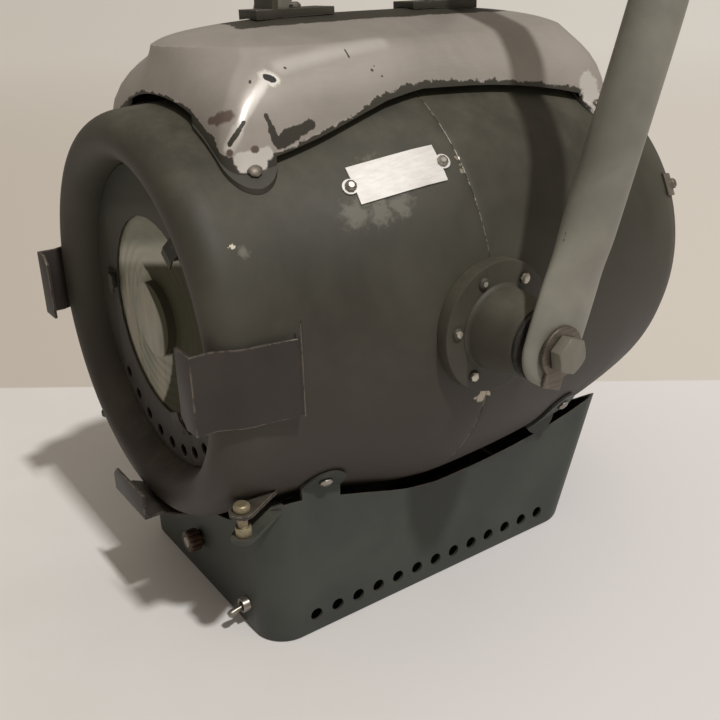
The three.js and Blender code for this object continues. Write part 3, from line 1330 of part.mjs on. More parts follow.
// The spherical mirror behind the lamp
function reflector() {
  const steps = QUARTER_STEPS + 2;
  const widest = Math.asin(REFLECTOR_APERTURE / REFLECTOR_RADIUS);
  const outer = [];
  const inner = [];
  for (let i = 0; i <= steps; i += 1) {
    const angle = widest * i / steps;
    const radius = REFLECTOR_RADIUS + REFLECTOR_WALL;
    outer.push([radius * Math.sin(angle), radius * Math.cos(angle)]);
    inner.push([REFLECTOR_RADIUS * Math.sin(angle), REFLECTOR_RADIUS * Math.cos(angle)]);
  }
  const profile = [...outer, ...inner.reverse()];
  return spunAboutY(profile, ROUND_SEGMENTS);
}

// The toggle switch's body behind the wall and its threaded neck through it
function switchBody() {
  const bodyFront = -BASE_FRONT + BASE_WALL + OVERRUN;
  const body = block(SWITCH_BODY_WIDTH, SWITCH_BODY_DEPTH, SWITCH_BODY_HEIGHT,
    0, bodyFront + SWITCH_BODY_DEPTH / 2, 0);
  const neck = spunAboutY(rod(SWITCH_NECK_RADIUS, -BASE_FRONT - SWITCH_NECK_LENGTH, bodyFront + FIT), SMALL_SEGMENTS);
  const bore = spunAboutY(rod(SWITCH_LEVER_RADIUS + SWITCH_LEVER_PLAY, -BASE_FRONT - SWITCH_NECK_LENGTH - OVERRUN, -BASE_FRONT),
    SMALL_SEGMENTS);
  const flare = spunAboutY([
    [0, -BASE_FRONT - SWITCH_NECK_LENGTH - FIT],
    [SWITCH_NECK_RADIUS - SWITCH_NECK_WALL, -BASE_FRONT - SWITCH_NECK_LENGTH - FIT],
    [SWITCH_LEVER_RADIUS, -BASE_FRONT - FIT],
    [0, -BASE_FRONT - FIT],
  ], SMALL_SEGMENTS);
  return body.add(neck).subtract(bore).subtract(flare);
}

// The toggle's lever, a bat that widens to its round tip, drawn along -Y from its pivot
function switchLever() {
  const profile = [
    [0, -FIT],
    [SWITCH_LEVER_RADIUS * SWITCH_ROOT_SHARE, -2 * FIT],
    [SWITCH_LEVER_RADIUS * SWITCH_ROOT_SHARE, -SWITCH_NECK_LENGTH],
    [SWITCH_TIP_RADIUS, -SWITCH_NECK_LENGTH - SWITCH_LEVER_LENGTH + SWITCH_TIP_RADIUS],
    [SWITCH_TIP_RADIUS * SWITCH_TIP_SHARE, -SWITCH_NECK_LENGTH - SWITCH_LEVER_LENGTH + FIT],
    [0, -SWITCH_NECK_LENGTH - SWITCH_LEVER_LENGTH],
  ];
  return spunAboutY(profile, SMALL_SEGMENTS);
}

const rearWall = baseRearAt(GLAND_HEIGHT);

// The cable gland in the rear wall: flange, domed nose and the thread inside, bored right through
function cableGland() {
  const inner = rearWall - BASE_WALL - GLAND_NUT_HEIGHT - OVERRUN;
  const thread = spunAboutY(rod(GLAND_THREAD_RADIUS, inner, rearWall + OVERRUN), SMALL_SEGMENTS);
  const hexFrom = rearWall + OVERRUN;
  const hex = toSolid(moved(extruded(shapeOf(hexPoints(GLAND_FLAT)), GLAND_FLANGE).rotateX(-TURN / 4), 0, hexFrom, 0));
  const nose = spunAboutY([
    [0, hexFrom],
    [GLAND_NOSE_RADIUS + GLAND_COLLAR, hexFrom],
    [GLAND_NOSE_RADIUS + GLAND_COLLAR, hexFrom + GLAND_FLANGE + GLAND_NOSE / 2],
    [GLAND_NOSE_RADIUS * GLAND_TIP_SHARE, hexFrom + GLAND_FLANGE + GLAND_NOSE],
    [0, hexFrom + GLAND_FLANGE + GLAND_NOSE],
  ], SMALL_SEGMENTS);
  const reach = GLAND_FLANGE + GLAND_NOSE + 2 * OVERRUN;
  const bore = spunAboutY(rod(GLAND_BORE_RADIUS, inner - OVERRUN, hexFrom + reach), SMALL_SEGMENTS);
  return thread.add(hex).add(nose).subtract(bore);
}

function terminalBlock() {
  let body = block(TERMINAL_LENGTH, TERMINAL_WIDTH, TERMINAL_HEIGHT, 0, 0, 0);
  const pitch = TERMINAL_LENGTH / TERMINAL_POLES;
  for (let i = 1; i < TERMINAL_POLES; i += 1) {
    const x = -TERMINAL_LENGTH / 2 + i * pitch;
    body = body.subtract(block(TERMINAL_GROOVE, TERMINAL_WIDTH + OVERRUN, TERMINAL_HEIGHT,
      x, 0, TERMINAL_HEIGHT * TERMINAL_GROOVE_SHARE));
  }
  return body;
}

// A sheet patch lying on the barrel: its outline is drawn along the axis and round the surface
function patchOnBarrel(place, turnShare, outline, wall) {
  const depth = BARREL_RADIUS;
  const geometry = extruded(outline, depth);
  const basis = new THREE.Matrix4().makeBasis(
    new THREE.Vector3(0, 1, 0), new THREE.Vector3(0, 0, 1), new THREE.Vector3(1, 0, 0));
  geometry.applyMatrix4(basis);
  geometry.rotateY(-TURN * turnShare);
  geometry.translate(0, place, 0);
  return barrelLayer(wall).intersect(toSolid(geometry));
}

function nameplateOutline() {
  const half = NAMEPLATE_LENGTH / 2;
  const high = NAMEPLATE_HEIGHT / 2;
  const ear = NAMEPLATE_EAR_HEIGHT / 2;
  const outer = half + NAMEPLATE_EAR;
  const outline = new THREE.Shape();
  outline.moveTo(-half, high);
  outline.lineTo(half, high);
  outline.lineTo(half, ear);
  outline.lineTo(outer, ear * 0.8);
  outline.lineTo(outer, -ear * 0.8);
  outline.lineTo(half, -ear);
  outline.lineTo(half, -high);
  outline.lineTo(-half, -high);
  outline.lineTo(-half, -ear);
  outline.lineTo(-outer, -ear * 0.8);
  outline.lineTo(-outer, ear * 0.8);
  outline.lineTo(-half, ear);
  return outline;
}

function nameplate() {
  return patchOnBarrel(-NAMEPLATE_PLACE, NAMEPLATE_TURN_SHARE, nameplateOutline(), NAMEPLATE_WALL);
}

function nameplateScrew(end) {
  const y = -NAMEPLATE_PLACE + end * (NAMEPLATE_LENGTH / 2 + NAMEPLATE_EAR / 3);
  const angle = TURN * NAMEPLATE_TURN_SHARE;
  const x = barrelRadius(y) * Math.cos(angle);
  return screwOnBarrel(x, y, 1, NAMEPLATE_WALL + 2 * FIT, NAMEPLATE_SCREW_RADIUS, NAMEPLATE_SCREW_RISE);
}

function rearClip() {
  const half = REAR_CLIP_WIDTH / 2;
  const outline = new THREE.Shape();
  outline.moveTo(-REAR_CLIP_LENGTH / 2, -half);
  outline.lineTo(REAR_CLIP_LENGTH / 2 - half, -half);
  outline.absarc(REAR_CLIP_LENGTH / 2 - half, 0, half, -TURN / 4, TURN / 4, false);
  outline.lineTo(-REAR_CLIP_LENGTH / 2, half);
  const strap = patchOnBarrel(REAR_CLIP_PLACE, REAR_CLIP_TURN_SHARE, outline, REAR_CLIP_WALL);
  const x = barrelRadius(REAR_CLIP_PLACE) * Math.cos(TURN * REAR_CLIP_TURN_SHARE);
  const head = screwOnBarrel(x, REAR_CLIP_PLACE, 1, REAR_CLIP_WALL, REAR_CLIP_SCREW, REAR_CLIP_RISE,
    REAR_CLIP_WALL / 2);
  return strap.add(toSolid(head));
}

// Assembly
const spotlight = new THREE.Group();
const housing = new THREE.Group();
housing.position.set(0, 0, AXIS_HEIGHT);
spotlight.add(housing);

function piece(name, shape, material, parent) {
  const geometry = shape.isBufferGeometry ? shape : toGeometry(shape);
  const mesh = new THREE.Mesh(geometry, material.clone());
  mesh.name = name;
  parent.add(mesh);
  return mesh;
}

const sides = [["right", 1], ["left", -1]];

piece("front_shell", frontShell(), olivePaint, housing);
piece("rear_shell", rearShell(), olivePaint, housing);
piece("seam_band", seamBand(), bareSteel, housing);
piece("lens_plate", lensPlate(), olivePaint, housing);
piece("lens", lens(), lensGlass, housing);
piece("lens_ring", lensRing(), bareSteel, housing);
for (let i = 0; i < CLIP_COUNT; i += 1) {
  const turn = TURN * (CLIP_START_SHARE + i / CLIP_COUNT);
  piece(`lens_clip_${i + 1}`, lensClip(turn), bareSteel, housing);
}

const sideBracket = bracket(BRACKET_WIDTH);
const leftBracket = toGeometry(sideBracket).rotateY(Math.PI);
piece("right_bracket", sideBracket, olivePaint, housing);
piece("left_bracket", leftBracket, olivePaint, housing);
piece("bottom_bracket", toGeometry(bracket(BOTTOM_BRACKET_WIDTH)).rotateY(TURN / 4), olivePaint, housing);

const flange = hubFlange();
const yokeGroup = new THREE.Group();
yokeGroup.position.set(0, 0, PIVOT_RISE);
yokeGroup.rotation.x = -TURN * YOKE_LEAN_SHARE;
housing.add(yokeGroup);
piece("yoke", yoke(), yokePaint, yokeGroup);
for (const [side, direction] of sides) {
  const saddle = toSolid(toGeometry(flange).scale(direction, 1, 1));
  piece(`hub_flange_${side}`, saddle, olivePaint, housing);
  const fixed = new THREE.Group();
  fixed.position.set(0, 0, PIVOT_RISE);
  housing.add(fixed);
  const turning = new THREE.Group();
  yokeGroup.add(turning);
  for (const group of [fixed, turning]) group.rotation.z = direction > 0 ? 0 : Math.PI;
  piece(`hub_boss_${side}`, hubBoss(), olivePaint, fixed);
  piece(`friction_washer_${side}`, frictionWasher(), fibre, fixed);
  piece(`tab_washer_${side}`, tabWasher(), bareSteel, turning);
  piece(`pivot_bolt_${side}`, pivotBolt(), bareSteel, turning);
  piece(`pivot_nut_${side}`, pivotNut(), bareSteel, turning);
}

piece("vent_cap", ventCap(), capPaint, housing);
for (const [side, direction] of sides) {
  piece(`cap_screw_front_${side}`, capScrew(direction, -CAP_TAB_FRONT), bareSteel, housing);
  piece(`cap_screw_rear_${side}`, capScrew(direction, CAP_TAB_REAR), bareSteel, housing);
}
piece("handle", handle(), olivePaint, housing);
for (const [end, direction] of [["front", -1], ["rear", 1]]) {
  const head = screwHead(HANDLE_SCREW_RADIUS, HANDLE_SCREW_RISE, 0);
  const y = HANDLE_CENTRE + direction * (HANDLE_LENGTH - HANDLE_HEEL) / 2;
  const screw = piece(`handle_screw_${end}`, head, bareSteel, housing);
  screw.position.set(0, y, CAP_CROWN_HEIGHT + HANDLE_WALL + FIT);
}

piece("base_box", baseBox(), greenPaint, housing);
for (const [side, direction] of sides) {
  for (const [end, place] of [["front", -LUG_FRONT_PLACE], ["rear", LUG_REAR_PLACE]]) {
    const surface = barrelRadius(place);
    const x = direction * Math.sqrt(surface * surface - LUG_SCREW_DROP * LUG_SCREW_DROP);
    const head = screwOnBarrel(x, place, -1, LUG_WALL + 2 * FIT, SCREW_HEAD_RADIUS, SCREW_HEAD_RISE);
    piece(`lug_screw_${end}_${side}`, head, bareSteel, housing);
  }
  const bolt = piece(`latch_bolt_${side}`, latchBolt(), brass, housing);
  bolt.position.set(direction * LATCH_X, -LATCH_Y, 0);
  const guide = piece(`guide_rod_${side}`, guideRod(), bareSteel, housing);
  guide.position.set(direction * ROD_SPREAD, 0, focusLine);
}

const drive = new THREE.Group();
drive.position.set(0, 0, focusLine);
housing.add(drive);
piece("focus_knob", focusKnob(), bakelite, drive);
piece("focus_screw", focusScrew(), bareSteel, drive);
piece("rail_end_front", railEnd(-ROD_FRONT + RAIL_END_WALL), bareSteel, housing);
piece("rail_end_rear", railEnd(ROD_REAR - RAIL_END_WALL), bareSteel, housing);
piece("lamp_carriage", lampCarriage(), aluminium, housing);

const lampGroup = new THREE.Group();
lampGroup.position.set(0, -LAMP_PLACE, 0);
housing.add(lampGroup);
piece("lamp_socket", lampSocket(), ceramic, lampGroup);
piece("lamp_cap", lampCap(), brass, lampGroup);
piece("lamp_bulb", lampBulb(), bulbGlass, lampGroup);
piece("reflector", reflector(), mirrorFinish, lampGroup);

const switchGroup = new THREE.Group();
switchGroup.position.set(SWITCH_X, 0, SWITCH_HEIGHT - AXIS_HEIGHT);
housing.add(switchGroup);
piece("switch_body", switchBody(), bareSteel, switchGroup);
const lever = piece("switch_lever", switchLever(), bareSteel, switchGroup);
lever.position.set(0, -BASE_FRONT, 0);
lever.rotation.x = TURN * SWITCH_THROW_SHARE;

const gland = piece("cable_gland", cableGland(), fibre, housing);
gland.position.set(GLAND_X, 0, GLAND_HEIGHT - AXIS_HEIGHT);
const terminals = piece("terminal_block", terminalBlock(), bakelite, housing);
terminals.position.set(-TERMINAL_X, TERMINAL_Y, BASE_WALL + FIT + TERMINAL_HEIGHT / 2 - AXIS_HEIGHT);
terminals.rotation.z = TURN / 4;

piece("nameplate", nameplate(), aluminium, housing);
piece("nameplate_screw_front", nameplateScrew(-1), bareSteel, housing);
piece("nameplate_screw_rear", nameplateScrew(1), bareSteel, housing);
piece("rear_clip", rearClip(), bareSteel, housing);

export default spotlight;
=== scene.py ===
import math

import bmesh
import bpy
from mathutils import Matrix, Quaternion, Vector


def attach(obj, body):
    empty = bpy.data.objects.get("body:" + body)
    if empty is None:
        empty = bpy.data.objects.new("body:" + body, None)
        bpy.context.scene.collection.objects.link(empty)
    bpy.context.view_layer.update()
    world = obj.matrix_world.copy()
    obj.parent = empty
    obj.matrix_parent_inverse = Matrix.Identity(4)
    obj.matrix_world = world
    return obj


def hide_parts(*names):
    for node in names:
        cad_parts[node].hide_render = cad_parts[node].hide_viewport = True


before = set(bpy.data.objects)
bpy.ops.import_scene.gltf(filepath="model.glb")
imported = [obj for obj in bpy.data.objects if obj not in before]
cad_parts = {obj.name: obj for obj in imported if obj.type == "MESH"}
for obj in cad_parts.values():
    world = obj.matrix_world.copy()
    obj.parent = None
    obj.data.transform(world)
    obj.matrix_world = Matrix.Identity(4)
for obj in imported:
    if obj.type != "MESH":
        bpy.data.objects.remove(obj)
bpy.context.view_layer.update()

# Barrel
BARREL_RADIUS = 0.150
AXIS = 0.203
PIVOT = 0.207
FRONT_LENGTH = 0.146
FRONT_RADIUS = 0.128
REAR_LENGTH = 0.186
REAR_RADIUS = 0.127
DOME_LENGTH = 0.056
SHEET = 0.002
FIT = 0.0003
ROLL_DEPTH = 0.021
ROLL_WIDTH = 0.031
ROLL_STEPS = 12
LIP_RETURN = 0.005
SEAM_DROP = 0.0007
SEAM_ROUND = 0.0012
BARREL_SEGMENTS = 96
STATIONS_PER_SPAN = 2
# Shares of the length and of the narrowing, and for the dome of its length and its radius
FRONT_TAPER = [(0, 0), (0.18, 0.13), (0.36, 0.39), (0.54, 0.65), (0.72, 0.85), (0.88, 0.95), (1, 1)]
REAR_TAPER = [(0, 0), (0.2, 0.04), (0.4, 0.14), (0.6, 0.32), (0.8, 0.6), (1, 1)]
DOME = [(0.25, 0.945), (0.45, 0.894), (0.64, 0.815), (0.8, 0.7), (0.93, 0.5), (0.98, 0.28), (1, 0)]
# Openings in the shells: half width, front end, rear end
TOP_VENT = (0.055, -0.095, 0.130)
FLOOR_VENT = (0.070, -0.108, 0.118)

# Vent cap
CAP_HALF_WIDTH = 0.087
CAP_RIDGE_HALF_WIDTH = 0.066
CAP_HALF_LENGTH = 0.149
CAP_RIDGE_HALF_LENGTH = 0.145
CAP_CENTRE = 0.015
CAP_EDGE = 0.131
CAP_RIDGE = 0.157
CAP_CROWN = 0.173
CAP_WALL = 0.0016
CAP_GAP = 0.0055
CAP_SKIRT = 0.060
CAP_CORNER = 0.012
CAP_HIP_STEPS = [0.016, 0.026, 0.036, 0.046, 0.054]
CAP_HIP_STEP = 0.0034
CAP_RIDGE_ROUNDNESS = 0.34
CAP_RIDGE_FOLD = 0.005
CAP_TOP_SHARES = [(0.1, 0.2), (0.36, 0.5), (0.66, 0.8), (0.9, 1)]
CAP_END_DRAW = 0.8
TAB_HALF_WIDTH = 0.016
TAB_TIP = 0.094
TAB_REACH = 0.026
TAB_FOOT = AXIS + 0.05
TAB_TOP = AXIS + 0.17
TAB_FRONT = -0.117
TAB_REAR = 0.147
TAB_WALL = 0.002

# Accessory brackets
BRACKET_RADIUS = 0.120
BRACKET_WIDTH = 0.045
BOTTOM_BRACKET_WIDTH = 0.050
BRACKET_LIP = 0.015
BRACKET_SLOT = 0.012
BRACKET_WALL = 0.002
BRACKET_TAIL = 0.022
BRACKET_TAIL_RISE = 0.0025
BRACKET_FLARE = 0.0015
BRACKET_FLARE_REACH = 0.0015
BRACKET_EAR = 0.012
BRACKET_CORNER = 0.006
BRACKET_LEAD = 0.002
BRACKET_EASE = 0.0005

# Yoke
YOKE_TUBE = 0.015
YOKE_ARM_X = 0.1937
YOKE_THICKNESS = 0.012
YOKE_WIDTH = 0.044
YOKE_FLAT_REACH = 0.030
YOKE_BLEND = 0.038
YOKE_HEIGHT = 0.275
YOKE_BEND = 0.088
YOKE_SADDLE = 0.030
YOKE_LEAN = math.radians(20)
YOKE_RING = 20
YOKE_BEND_STEPS = 10
YOKE_END_STEPS = 6
YOKE_END_TURNS = 6.6
SADDLE_THIN = 0.7
SADDLE_WIDE = 1.2
BOLT_RADIUS = 0.0063
SADDLE_HOLE = 0.0065

# Lens
LENS_WINDOW = 0.0645
LENS_RADIUS = 0.068
LENS_FRONT = -0.1451
LENS_EDGE = 0.006
LENS_STEP = 0.0004
# Where the lens glass's painted reflections lie: the arc that bounds the dark right side, the bright band and
# the streaks below it
LENS_ARC_HEIGHT = 0.200
LENS_ARC_REACH = 0.0165
LENS_ARC_BENDS = (29.6, 8.0)
LENS_ARC_EDGE = 0.002
LENS_BAND_SLOPE = 0.237
LENS_BAND_FOOT = (0.2345, 0.2420)
LENS_BAND_TOP = (0.2460, 0.2560)
LENS_UNDER_BAND = (0.2355, 0.2405)
LENS_BROWN_FOOT = (0.165, 0.180)
GLASS_BENDING = 1.5
LENS_CROWN = 0.006
LENS_CROWN_RADIUS = 0.0238
LENS_CROWN_STEPS = 6
LENS_STEPS = 6
LENS_RISER = 1 / 12
LENS_BULGE = 0.62
LENS_POINT = 0.0005
LENS_SEGMENTS = 96

# Nameplate
NAMEPLATE_LENGTH = 0.054
NAMEPLATE_HEIGHT = 0.023
NAMEPLATE_EAR = 0.0046
NAMEPLATE_SCREW_PLACE = 0.029
NAMEPLATE_Y = -0.041
NAMEPLATE_TURN = math.radians(40)
NAMEPLATE_WALL = 0.0008
NAMEPLATE_REACH = (0.1, 0.2)

# Base box
BASE_HALF_WIDTH = 0.096
BASE_FRONT = -0.134
BASE_REAR = 0.136
BASE_REAR_FLARE = 0.035
BASE_FLARE_HEIGHT = 0.095
BASE_TOP = 0.137
BASE_GAP = 0.008
BASE_FRONT_CORNER = 0.022
BASE_REAR_CORNER = 0.025
BASE_FOOT_ROUND = 0.0016
BASE_HOLE_RADIUS = 0.0045
BASE_HOLE_COUNT = 13
BASE_HOLE_PITCH = 0.0167
BASE_HOLE_HEIGHT = 0.0135
# Single holes: x, height, radius
KNOB_HOLE = (0, 0.036, 0.0053)
SWITCH_HOLE = (0.0646, 0.019, 0.0053)
GLAND_HOLE = (0.050, 0.030, 0.0083)
# How far along Y the holes in the front wall and the rear wall are cut
FRONT_REACH = (-0.2, -0.1)
REAR_REACH = (0.1, 0.25)
LUG_HALF_WIDTH = 0.014
LUG_FRONT = -0.092
LUG_REAR = 0.098
LUG_TOP = 0.123
LUG_LENGTH = 0.040
LATCH = (0.104, -0.151)
LATCH_TURN = math.radians(60)
LATCH_EAR_HALF = 0.0075
LATCH_EAR_WALL = 0.0025
LATCH_HOLE = 0.0033
# Latch ears: top, reach inwards
SHELL_EAR = (0.1165, 0.026)
BASE_EAR = (0.1000, 0.032)

# Hubs
HUB_RADIUS = 0.040
HUB_FACE = 0.1524
HUB_ROOT = 0.1366
HUB_ROUND = 0.0014
HUB_SCREW_CIRCLE = 0.032
HUB_SCREW_TURN = math.radians(54)
HUB_SCREW_RADIUS = 0.0036
HUB_SCREW_COUNT = 6
HUB_SCREW_RISE = 0.0022
HUB_SCREW_SINK = 0.001
HUB_SCREW_HEAD = [(1, 0.35), (0.8, 0.75), (0.45, 1), (0, 1)]
HUB_BRIGHT_X = 0.1545
BOSS_ROOT = 0.025
BOSS_TIP = 0.022
BOSS_FACE = 0.1844
BOSS_ROUND = 0.003
BOSS_FILLET = [(0.002, FIT), (0.0007, 0.0012), (0, 0.003)]
BOLT_PASSAGE = 0.0063

# Distances that count as none: between double points, in a CAD node, left over from cutting, in a test
DOUBLE_POINT = 0.000001
CAD_DOUBLE_POINT = 0.000002
TINY_EDGE = 0.0000015
NEAR = 0.00001

# Faces of a CAD node that meet at less than this are one face
FLAT_ANGLE = math.radians(0.5)

# Cutting forms: past every side of the lamp, and through a wall
FAR = 0.4
DRILL = 0.02

# Camera, fitted to the photograph
CAMERA_PLACE = (0.5154, -0.3481, 0.4005)
CAMERA_AZIMUTH = math.radians(55.52)
CAMERA_ELEVATION = math.radians(23.10)
CAMERA_ROLL = math.radians(-1.70)
CAMERA_LENS = 45.81
# How far in front of the origin the camera stands, measured level
CAMERA_DEPTH = 0.63


def linear(red, green, blue):
    """A colour given as it shows on a screen, from 0 to 255."""
    values = []
    for part in (red, green, blue):
        share = part / 255
        values.append(share / 12.92 if share <= 0.04045 else ((share + 0.055) / 1.055) ** 2.4)
    return (*values, 1)


# Modelling helpers
def close():
    """Ends editing."""
    bpy.ops.object.mode_set(mode="OBJECT")


def activate(piece):
    if bpy.context.object and bpy.context.object.mode != "OBJECT":
        close()
    bpy.ops.object.select_all(action="DESELECT")
    bpy.context.view_layer.objects.active = piece
    piece.select_set(True)


def edit(piece):
    """Opens a piece for editing, with all of it selected."""
    activate(piece)
    bpy.ops.object.mode_set(mode="EDIT")
    bpy.ops.mesh.select_all(action="SELECT")


def begin(name, add, **place):
    """Adds a primitive, settles its place in its mesh and opens it for editing."""
    if bpy.context.object and bpy.context.object.mode != "OBJECT":
        close()
    bpy.ops.object.select_all(action="DESELECT")
    add(**place)
    piece = bpy.context.object
    piece.name = name
    piece.data.name = name
    bpy.ops.object.transform_apply(location=True, rotation=True, scale=True)
    bpy.ops.object.mode_set(mode="EDIT")
    bpy.ops.mesh.select_mode(type="VERT")
    bpy.ops.mesh.select_all(action="SELECT")
    return piece


def pick(piece, kind, test):
    """Selects the vertices, edges or faces that pass the test; returns how many."""
    bpy.ops.mesh.select_mode(type=kind)
    bpy.ops.mesh.select_all(action="DESELECT")
    mesh = bmesh.from_edit_mesh(piece.data)
    mesh.normal_update()
    chosen = {"VERT": mesh.verts, "EDGE": mesh.edges, "FACE": mesh.faces}[kind]
    count = 0
    for element in chosen:
        if test(element):
            element.select_set(True)
            count += 1
    bmesh.update_edit_mesh(piece.data)
    return count


def shift(x, y, z):
    """Moves what is selected."""
    bpy.ops.transform.translate(value=(x, y, z))


def draw_out(x, y, z):
    """Extrudes what is selected."""
    bpy.ops.mesh.extrude_region_move(TRANSFORM_OT_translate={"value": (x, y, z)})


def resize(shares, centre):
    """Scales what is selected about a point."""
    bpy.ops.transform.resize(value=shares, center_override=centre)


def middle(edge):
    return (edge.verts[0].co + edge.verts[1].co) / 2


def height_span(edge):
    """How much lower one end of an edge is than the other."""
    return abs(edge.verts[0].co.z - edge.verts[1].co.z)


def modify(piece, kind, **settings):
    activate(piece)
    bpy.ops.object.modifier_add(type=kind)
    modifier = piece.modifiers[-1]
    for name, value in settings.items():
        setattr(modifier, name, value)
    bpy.ops.object.modifier_apply(modifier=modifier.name)


def smooth(piece, levels):
    modify(piece, "SUBSURF", levels=levels, render_levels=levels)


def thicken(piece, wall, offset):
    modify(piece, "SOLIDIFY", thickness=wall, offset=offset, use_even_offset=True)


def combine(piece, other, operation, keep=False):
    modify(piece, "BOOLEAN", object=other, operation=operation, solver="MANIFOLD")
    if not keep:
        bpy.data.objects.remove(other)


def outwards(piece):
    """Turns every face outwards, once double points are merged."""
    edit(piece)
    bpy.ops.mesh.remove_doubles(threshold=DOUBLE_POINT)
    bpy.ops.mesh.normals_make_consistent(inside=False)
    close()


def flipped(piece):
    """The same form for the left side, turned right side out."""
    edit(piece)
    resize((-1, 1, 1), (0, 0, 0))
    bpy.ops.mesh.normals_make_consistent(inside=False)
    close()
    return piece


def join(pieces, name):
    activate(pieces[0])
    for piece in pieces[1:]:
        piece.select_set(True)
    bpy.ops.object.join()
    pieces[0].name = name
    return pieces[0]


def dress(piece, body, slot, finish, *nodes, angle=35):
    """Shades a finished piece, gives it its body and its finish and hides the CAD nodes it stands for; its
    slot is not used.
    """
    edit(piece)
    bpy.ops.mesh.remove_doubles(threshold=TINY_EDGE)
    close()
    bpy.ops.object.shade_smooth_by_angle(angle=math.radians(angle))
    piece.data.materials.clear()
    piece.data.materials.append(finish)
    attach(piece, body)
    if nodes:
        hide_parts(*nodes)
    return piece


def refined(node, body, slot, finish, bevel=0.0004, angle=40):
    """A copy of a CAD node with its faces joined, its edges eased and its round sides smooth."""
    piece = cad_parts[node].copy()
    piece.data = piece.data.copy()
    piece.name = node + "_finished"
    piece.data.name = piece.name
    piece.parent = None
    bpy.context.collection.objects.link(piece)
    edit(piece)
    bpy.ops.mesh.remove_doubles(threshold=CAD_DOUBLE_POINT)
    bpy.ops.mesh.dissolve_limited(angle_limit=FLAT_ANGLE)
    close()
    modify(piece, "BEVEL", width=bevel, segments=2, limit_method="ANGLE", angle_limit=math.radians(angle))
    return dress(piece, body, slot, finish, node, angle=angle)


# The barrel's outline
def spline(points, steps):
    """More stations on a smooth line through the given points."""
    line = []
    for i in range(len(points) - 1):
        before = points[max(i - 1, 0)]
        start, end = points[i], points[i + 1]
        after = points[min(i + 2, len(points) - 1)]
        for step in range(steps):
            t = step / steps
            line.append(tuple(
                0.5 * (2 * b + (c - a) * t + (2 * a - 5 * b + 4 * c - d) * t * t
                       + (3 * b - a - 3 * c + d) * t ** 3)
                for a, b, c, d in zip(before, start, end, after)))
    line.append(points[-1])
    return line


def front_line():
    """The front shell's (radius, y) stations, from the seam forwards."""
    points = [(BARREL_RADIUS - drop * (BARREL_RADIUS - FRONT_RADIUS), -along * FRONT_LENGTH)
              for along, drop in FRONT_TAPER]
    return spline(points, STATIONS_PER_SPAN)


def rear_line():
    """The rear shell's stations, from the seam to the middle of its dome."""
    points = [(BARREL_RADIUS - drop * (BARREL_RADIUS - REAR_RADIUS), along * REAR_LENGTH)
              for along, drop in REAR_TAPER]
    points += [(REAR_RADIUS * radius, REAR_LENGTH + DOME_LENGTH * along) for along, radius in DOME]
    return spline(points, STATIONS_PER_SPAN)


def roll_line(grow=0.0):
    """The rolled rim's stations, from the skin round to its inner side."""
    centre = FRONT_RADIUS - ROLL_WIDTH / 2
    line = []
    for i in range(ROLL_STEPS + 1):
        turn = math.pi * i / ROLL_STEPS
        radius = centre + (ROLL_WIDTH / 2 + grow) * math.cos(turn)
        line.append((radius, -FRONT_LENGTH - (ROLL_DEPTH + grow) * math.sin(turn)))
    return line


OUTLINE = list(reversed(front_line())) + rear_line()[1:]


def barrel_radius(y):
    """The radius of the skin at one place along the barrel."""
    for (r0, y0), (r1, y1) in zip(OUTLINE, OUTLINE[1:]):
        if y <= y1:
            return r0 + (r1 - r0) * (y - y0) / (y1 - y0)
    return 0.0


RING_TURNS = [(0, math.pi / 2, 0), (math.pi / 2, 0, 0), (0, 0, 0)]


def ring_sheet(name, stations, segments=BARREL_SEGMENTS, fill="NOTHING", along=1, centre=(0, 0, AXIS)):
    """A round sheet about a line along X, Y or Z, drawn out ring by ring from (radius, place) stations."""
    radius, place = stations[0]
    spot = list(centre)
    spot[along] = place
    piece = begin(name, bpy.ops.mesh.primitive_circle_add, vertices=segments, radius=radius,
                  fill_type=fill, location=spot, rotation=RING_TURNS[along])
    for next_radius, next_place in stations[1:]:
        move = [0, 0, 0]
        move[along] = next_place - place
        spot[along] = next_place
        draw_out(*move)
        if next_radius > 0:
            shares = [next_radius / radius] * 3
            shares[along] = 1
            resize(shares, spot)
        else:
            bpy.ops.mesh.merge(type="CENTER")
        radius, place = next_radius, next_place
    close()
    return piece


def ring_solid(name, stations, segments=64, along=0, centre=(0, 0, PIVOT)):
    """A closed turned form: its last ring meets its first."""
    piece = ring_sheet(name, stations + stations[:1], segments, "NOTHING", along, centre)
    outwards(piece)
    return piece


def rod(name, radius, start, end, along, centre, segments=32):
    """A plain round bar along X, Y or Z."""
    spot = list(centre)
    spot[along] = (start + end) / 2
    piece = begin(name, bpy.ops.mesh.primitive_cylinder_add, vertices=segments, radius=radius,
                  depth=abs(end - start), location=spot, rotation=RING_TURNS[along])
    close()
    return piece


def block(name, low, high):
    middle_place = [(a + b) / 2 for a, b in zip(low, high)]
    size = [b - a for a, b in zip(low, high)]
    piece = begin(name, bpy.ops.mesh.primitive_cube_add, size=1, location=middle_place, scale=size)
    close()
    return piece


def turn(piece, angle, axis, centre):
    """Turns a whole piece about a line; a positive angle turns it the way a right hand curls."""
    edit(piece)
    bpy.ops.transform.rotate(value=-angle, orient_axis=axis, center_override=centre)
    close()
    return piece


def open_vents(piece):
    """Takes the faces out of a shell where the top vent and the floor vent open it."""
    edit(piece)
    for (half, start, end), above in ((TOP_VENT, 1), (FLOOR_VENT, -1)):
        def in_vent(face):
            place = face.calc_center_median()
            return abs(place.x) < half and start < place.y < end and (place.z - AXIS) * above > 0
        if pick(piece, "FACE", in_vent):
            bpy.ops.mesh.delete(type="FACE")
    close()


def barrel_solid(name, grow):
    """The whole barrel as one closed form, for cutting what fits round it."""
    stations = [(FRONT_RADIUS + grow, -FRONT_LENGTH - ROLL_DEPTH)]
    stations += [(radius + grow, y) for radius, y in reversed(front_line())]
    stations += [(radius + grow if radius > 0 else 0, y) for radius, y in rear_line()[1:]]
    piece = ring_sheet(name, stations, fill="NGON")
    outwards(piece)
    return piece


